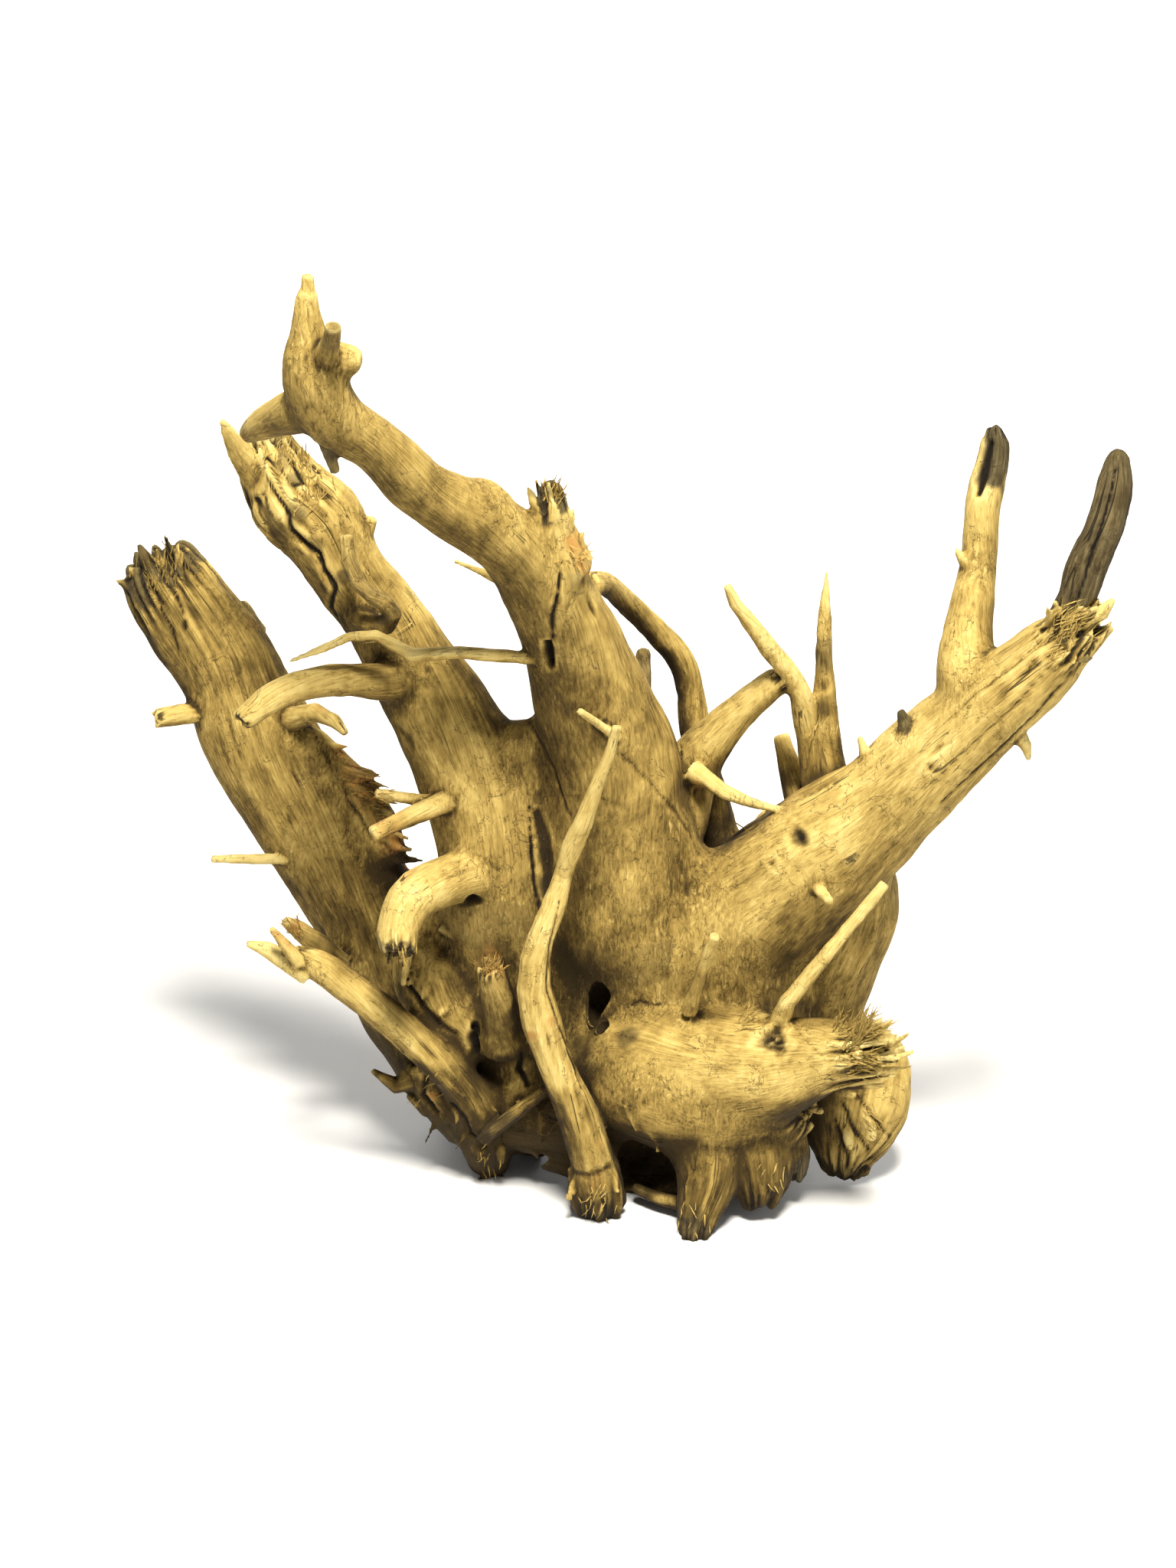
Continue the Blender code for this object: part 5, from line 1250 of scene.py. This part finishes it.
# Loose fibres: thin dry hairs of wood that stand out of the torn ends, each a closed sliver rooted
# in the skin. A tuft is (across, up, spread, count, lean from, lean to, length, orange).
fibre_tufts = [
    (160, 130, 9, 130, 80, -5, 26, 0.0), (160, 112, 9, 50, 25, -25, 20, 0.0),
    (148, 138, 6, 24, 85, 40, 14, 0.0), (-79, 174, 6, 44, 160, 40, 9, 1.0),
    (298, 398, 14, 56, 90, 10, 13, 0.0), (284, 384, 12, 30, 70, 20, 11, 0.0),
    (-292, 434, 16, 60, 130, 70, 9, 0.0), (-208, 506, 14, 60, 125, 60, 10, 0.0),
    (-196, 482, 12, 40, 120, 40, 9, 0.2), (-38, 484, 8, 34, 115, 50, 8, 0.2),
    (-24, 444, 9, 30, 80, -60, 8, 0.7), (-156, 288, 16, 40, 20, -40, 8, 0.5),
    (-84, 54, 14, 12, -50, -150, 8, 0.1), (-10, 20, 13, 20, -60, -140, 9, 0.2),
    (54, 14, 12, 10, -60, -120, 8, 0.1), (-207, 200, 6, 34, 170, 90, 10, 0.9),
    (86, 140, 6, 24, 70, 5, 12, 0.0), (168, 74, 11, 36, -5, -90, 8, 0.1),
    (138, 330, 8, 30, 110, 70, 10, 0.0), (-138, 182, 8, 30, -60, -120, 7, 0.0),
    (-120, 100, 12, 10, -120, -180, 9, 0.2), (104, 40, 12, 8, -50, -130, 8, 0.1)]
threads = [
    [(-138, 402), (-127, 413), (-131, 400), (-142, 393)], [(-152, 388), (-163, 387), (-174, 384)],
    [(-226, 508), (-231, 498), (-233, 493)], [(78, 271), (86, 266), (93, 261)],
    [(-30, 462), (-22, 470), (-16, 466)]]
chance = np.random.default_rng(7)
tree_of_skin = ray_tree(skin)
fibre_shape = bmesh.new()
orange_layer = fibre_shape.verts.layers.float.new("orange")


def sliver(rows, side, orange):
    """A closed three-sided sliver, drawn out of a small cap along rows of (point, radius)."""
    point, radius = rows[0]
    cap = bmesh.ops.create_circle(fibre_shape, cap_ends=True, segments=3, radius=1.0)["verts"]
    corners = (side, 0.7 * sight - 0.5 * side, -0.7 * sight - 0.5 * side)
    for vert, corner in zip(cap, corners):
        vert.co = point + radius * corner
        vert[orange_layer] = orange
    face = cap[0].link_faces[0]
    for next_point, next_radius in rows[1:]:
        region = [face, *face.edges, *face.verts]
        drawn = bmesh.ops.extrude_face_region(fibre_shape, geom=region)["geom"]
        face = next(part for part in drawn if isinstance(part, bmesh.types.BMFace))
        for vert in face.verts:
            vert.co = next_point + (vert.co - point) * (next_radius / radius)
        point, radius = next_point, next_radius
    bmesh.ops.pointmerge(fibre_shape, verts=face.verts[:], merge_co=point)


sunk, thread_thick = 0.003, 0.0006
for across, up, spread_wide, count, lean_from, lean_to, length, orange in fibre_tufts:
    for _ in range(count):
        start_across = across + chance.normal() * spread_wide * 0.5
        start_up = up + chance.normal() * spread_wide * 0.5
        found, _ = hit_from_eye(start_across, start_up)
        if found is None:
            continue
        lean = math.radians(lean_from + (lean_to - lean_from) * chance.random())
        way = (math.cos(lean) * Vector((1.0, 0.0, 0.0)) + math.sin(lean) * plane_up
               - sight * chance.uniform(0.1, 0.6))
        bend = Vector(chance.normal(size=3)) * 0.12
        long = length * mm * chance.uniform(0.4, 1.0)
        thick = mm * chance.uniform(0.35, 0.75)
        sliver([(found - way.normalized() * sunk, thick), (found + way * long * 0.5, thick * 0.8),
                (found + (way + bend) * long, 0.0)], way.cross(sight).normalized(), orange)
for route in threads:
    rows = []
    for across, up in route:
        found, aim = hit_from_eye(across, up)
        rows.append((found - aim * 0.002 if found else rows[-1][0], thread_thick))
    rows[0] = (rows[0][0] + aim * 0.004, thread_thick + 0.0001)
    sliver(rows, plane_up, 0.0)
bmesh.ops.recalc_face_normals(fibre_shape, faces=fibre_shape.faces)
fibre_mesh = bpy.data.meshes.new("loose_fibres")
fibre_shape.to_mesh(fibre_mesh)
fibre_shape.free()
at = vertex_values(fibre_mesh.vertices, "co", 3)
at[:, 2] = np.maximum(at[:, 2], 0.0)
fibre_mesh.vertices.foreach_set("co", np.clip(at, np.array(cad_low), np.array(cad_high)).ravel())
for name, value in (("tone", 0.72), ("stands_near", 0.6), ("stands_wide", 0.5), ("open_sky", 0.6)):
    layer = fibre_mesh.attributes.new(name, "FLOAT", "POINT")
    layer.data.foreach_set("value", np.full(len(at), value, dtype=np.float32))
fibre_mesh.materials.append(root_wood)
loose_fibres = placed("loose_fibres", fibre_mesh)
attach(loose_fibres, "root")

# The skin goes into the scene in closed blocks that meet face to face:
# two levels, each cut across by upright planes. Each small enough for its mesh file: two levels,
# each cut across by upright planes.
cut_level = 0.300
low_walls = (-0.135, -0.030, 0.050, 0.110)
high_walls = (-0.130, 0.020)


def side_of(mesh, at, normal):
    """The part of a mesh behind a plane, closed with a flat face there."""
    shape = bmesh.new()
    shape.from_mesh(mesh)
    cut = bmesh.ops.bisect_plane(shape, geom=shape.verts[:] + shape.edges[:] + shape.faces[:],
                                 dist=0.000001, plane_co=at, plane_no=normal, clear_outer=True)
    rim = [piece for piece in cut["geom_cut"] if isinstance(piece, bmesh.types.BMEdge)]
    filled = bmesh.ops.holes_fill(shape, edges=rim, sides=0)
    bmesh.ops.triangulate(shape, faces=filled["faces"])
    result = bpy.data.meshes.new("block")
    shape.to_mesh(result)
    shape.free()
    return result


def split(mesh, walls, axis):
    """Cut a mesh by several parallel planes."""
    blocks = []
    for wall in walls:
        at = Vector((0.0, 0.0, 0.0))
        at[axis] = wall
        normal = Vector((0.0, 0.0, 0.0))
        normal[axis] = 1.0
        blocks.append(side_of(mesh, at, normal))
        mesh = side_of(mesh, at, -normal)
    return blocks + [mesh]


lower, upper = split(skin, (cut_level,), 2)
for number, mesh in enumerate(split(lower, low_walls, 0) + split(upper, high_walls, 0)):
    name = f"root_wood_{number + 1}"
    mesh.name = name
    mesh.shade_smooth()
    mesh.set_sharp_from_angle(angle=math.radians(62.0))
    mesh.materials.clear()
    mesh.materials.append(root_wood)
    block = placed(name, mesh)
    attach(block, "root")
    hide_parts("corbo_root")
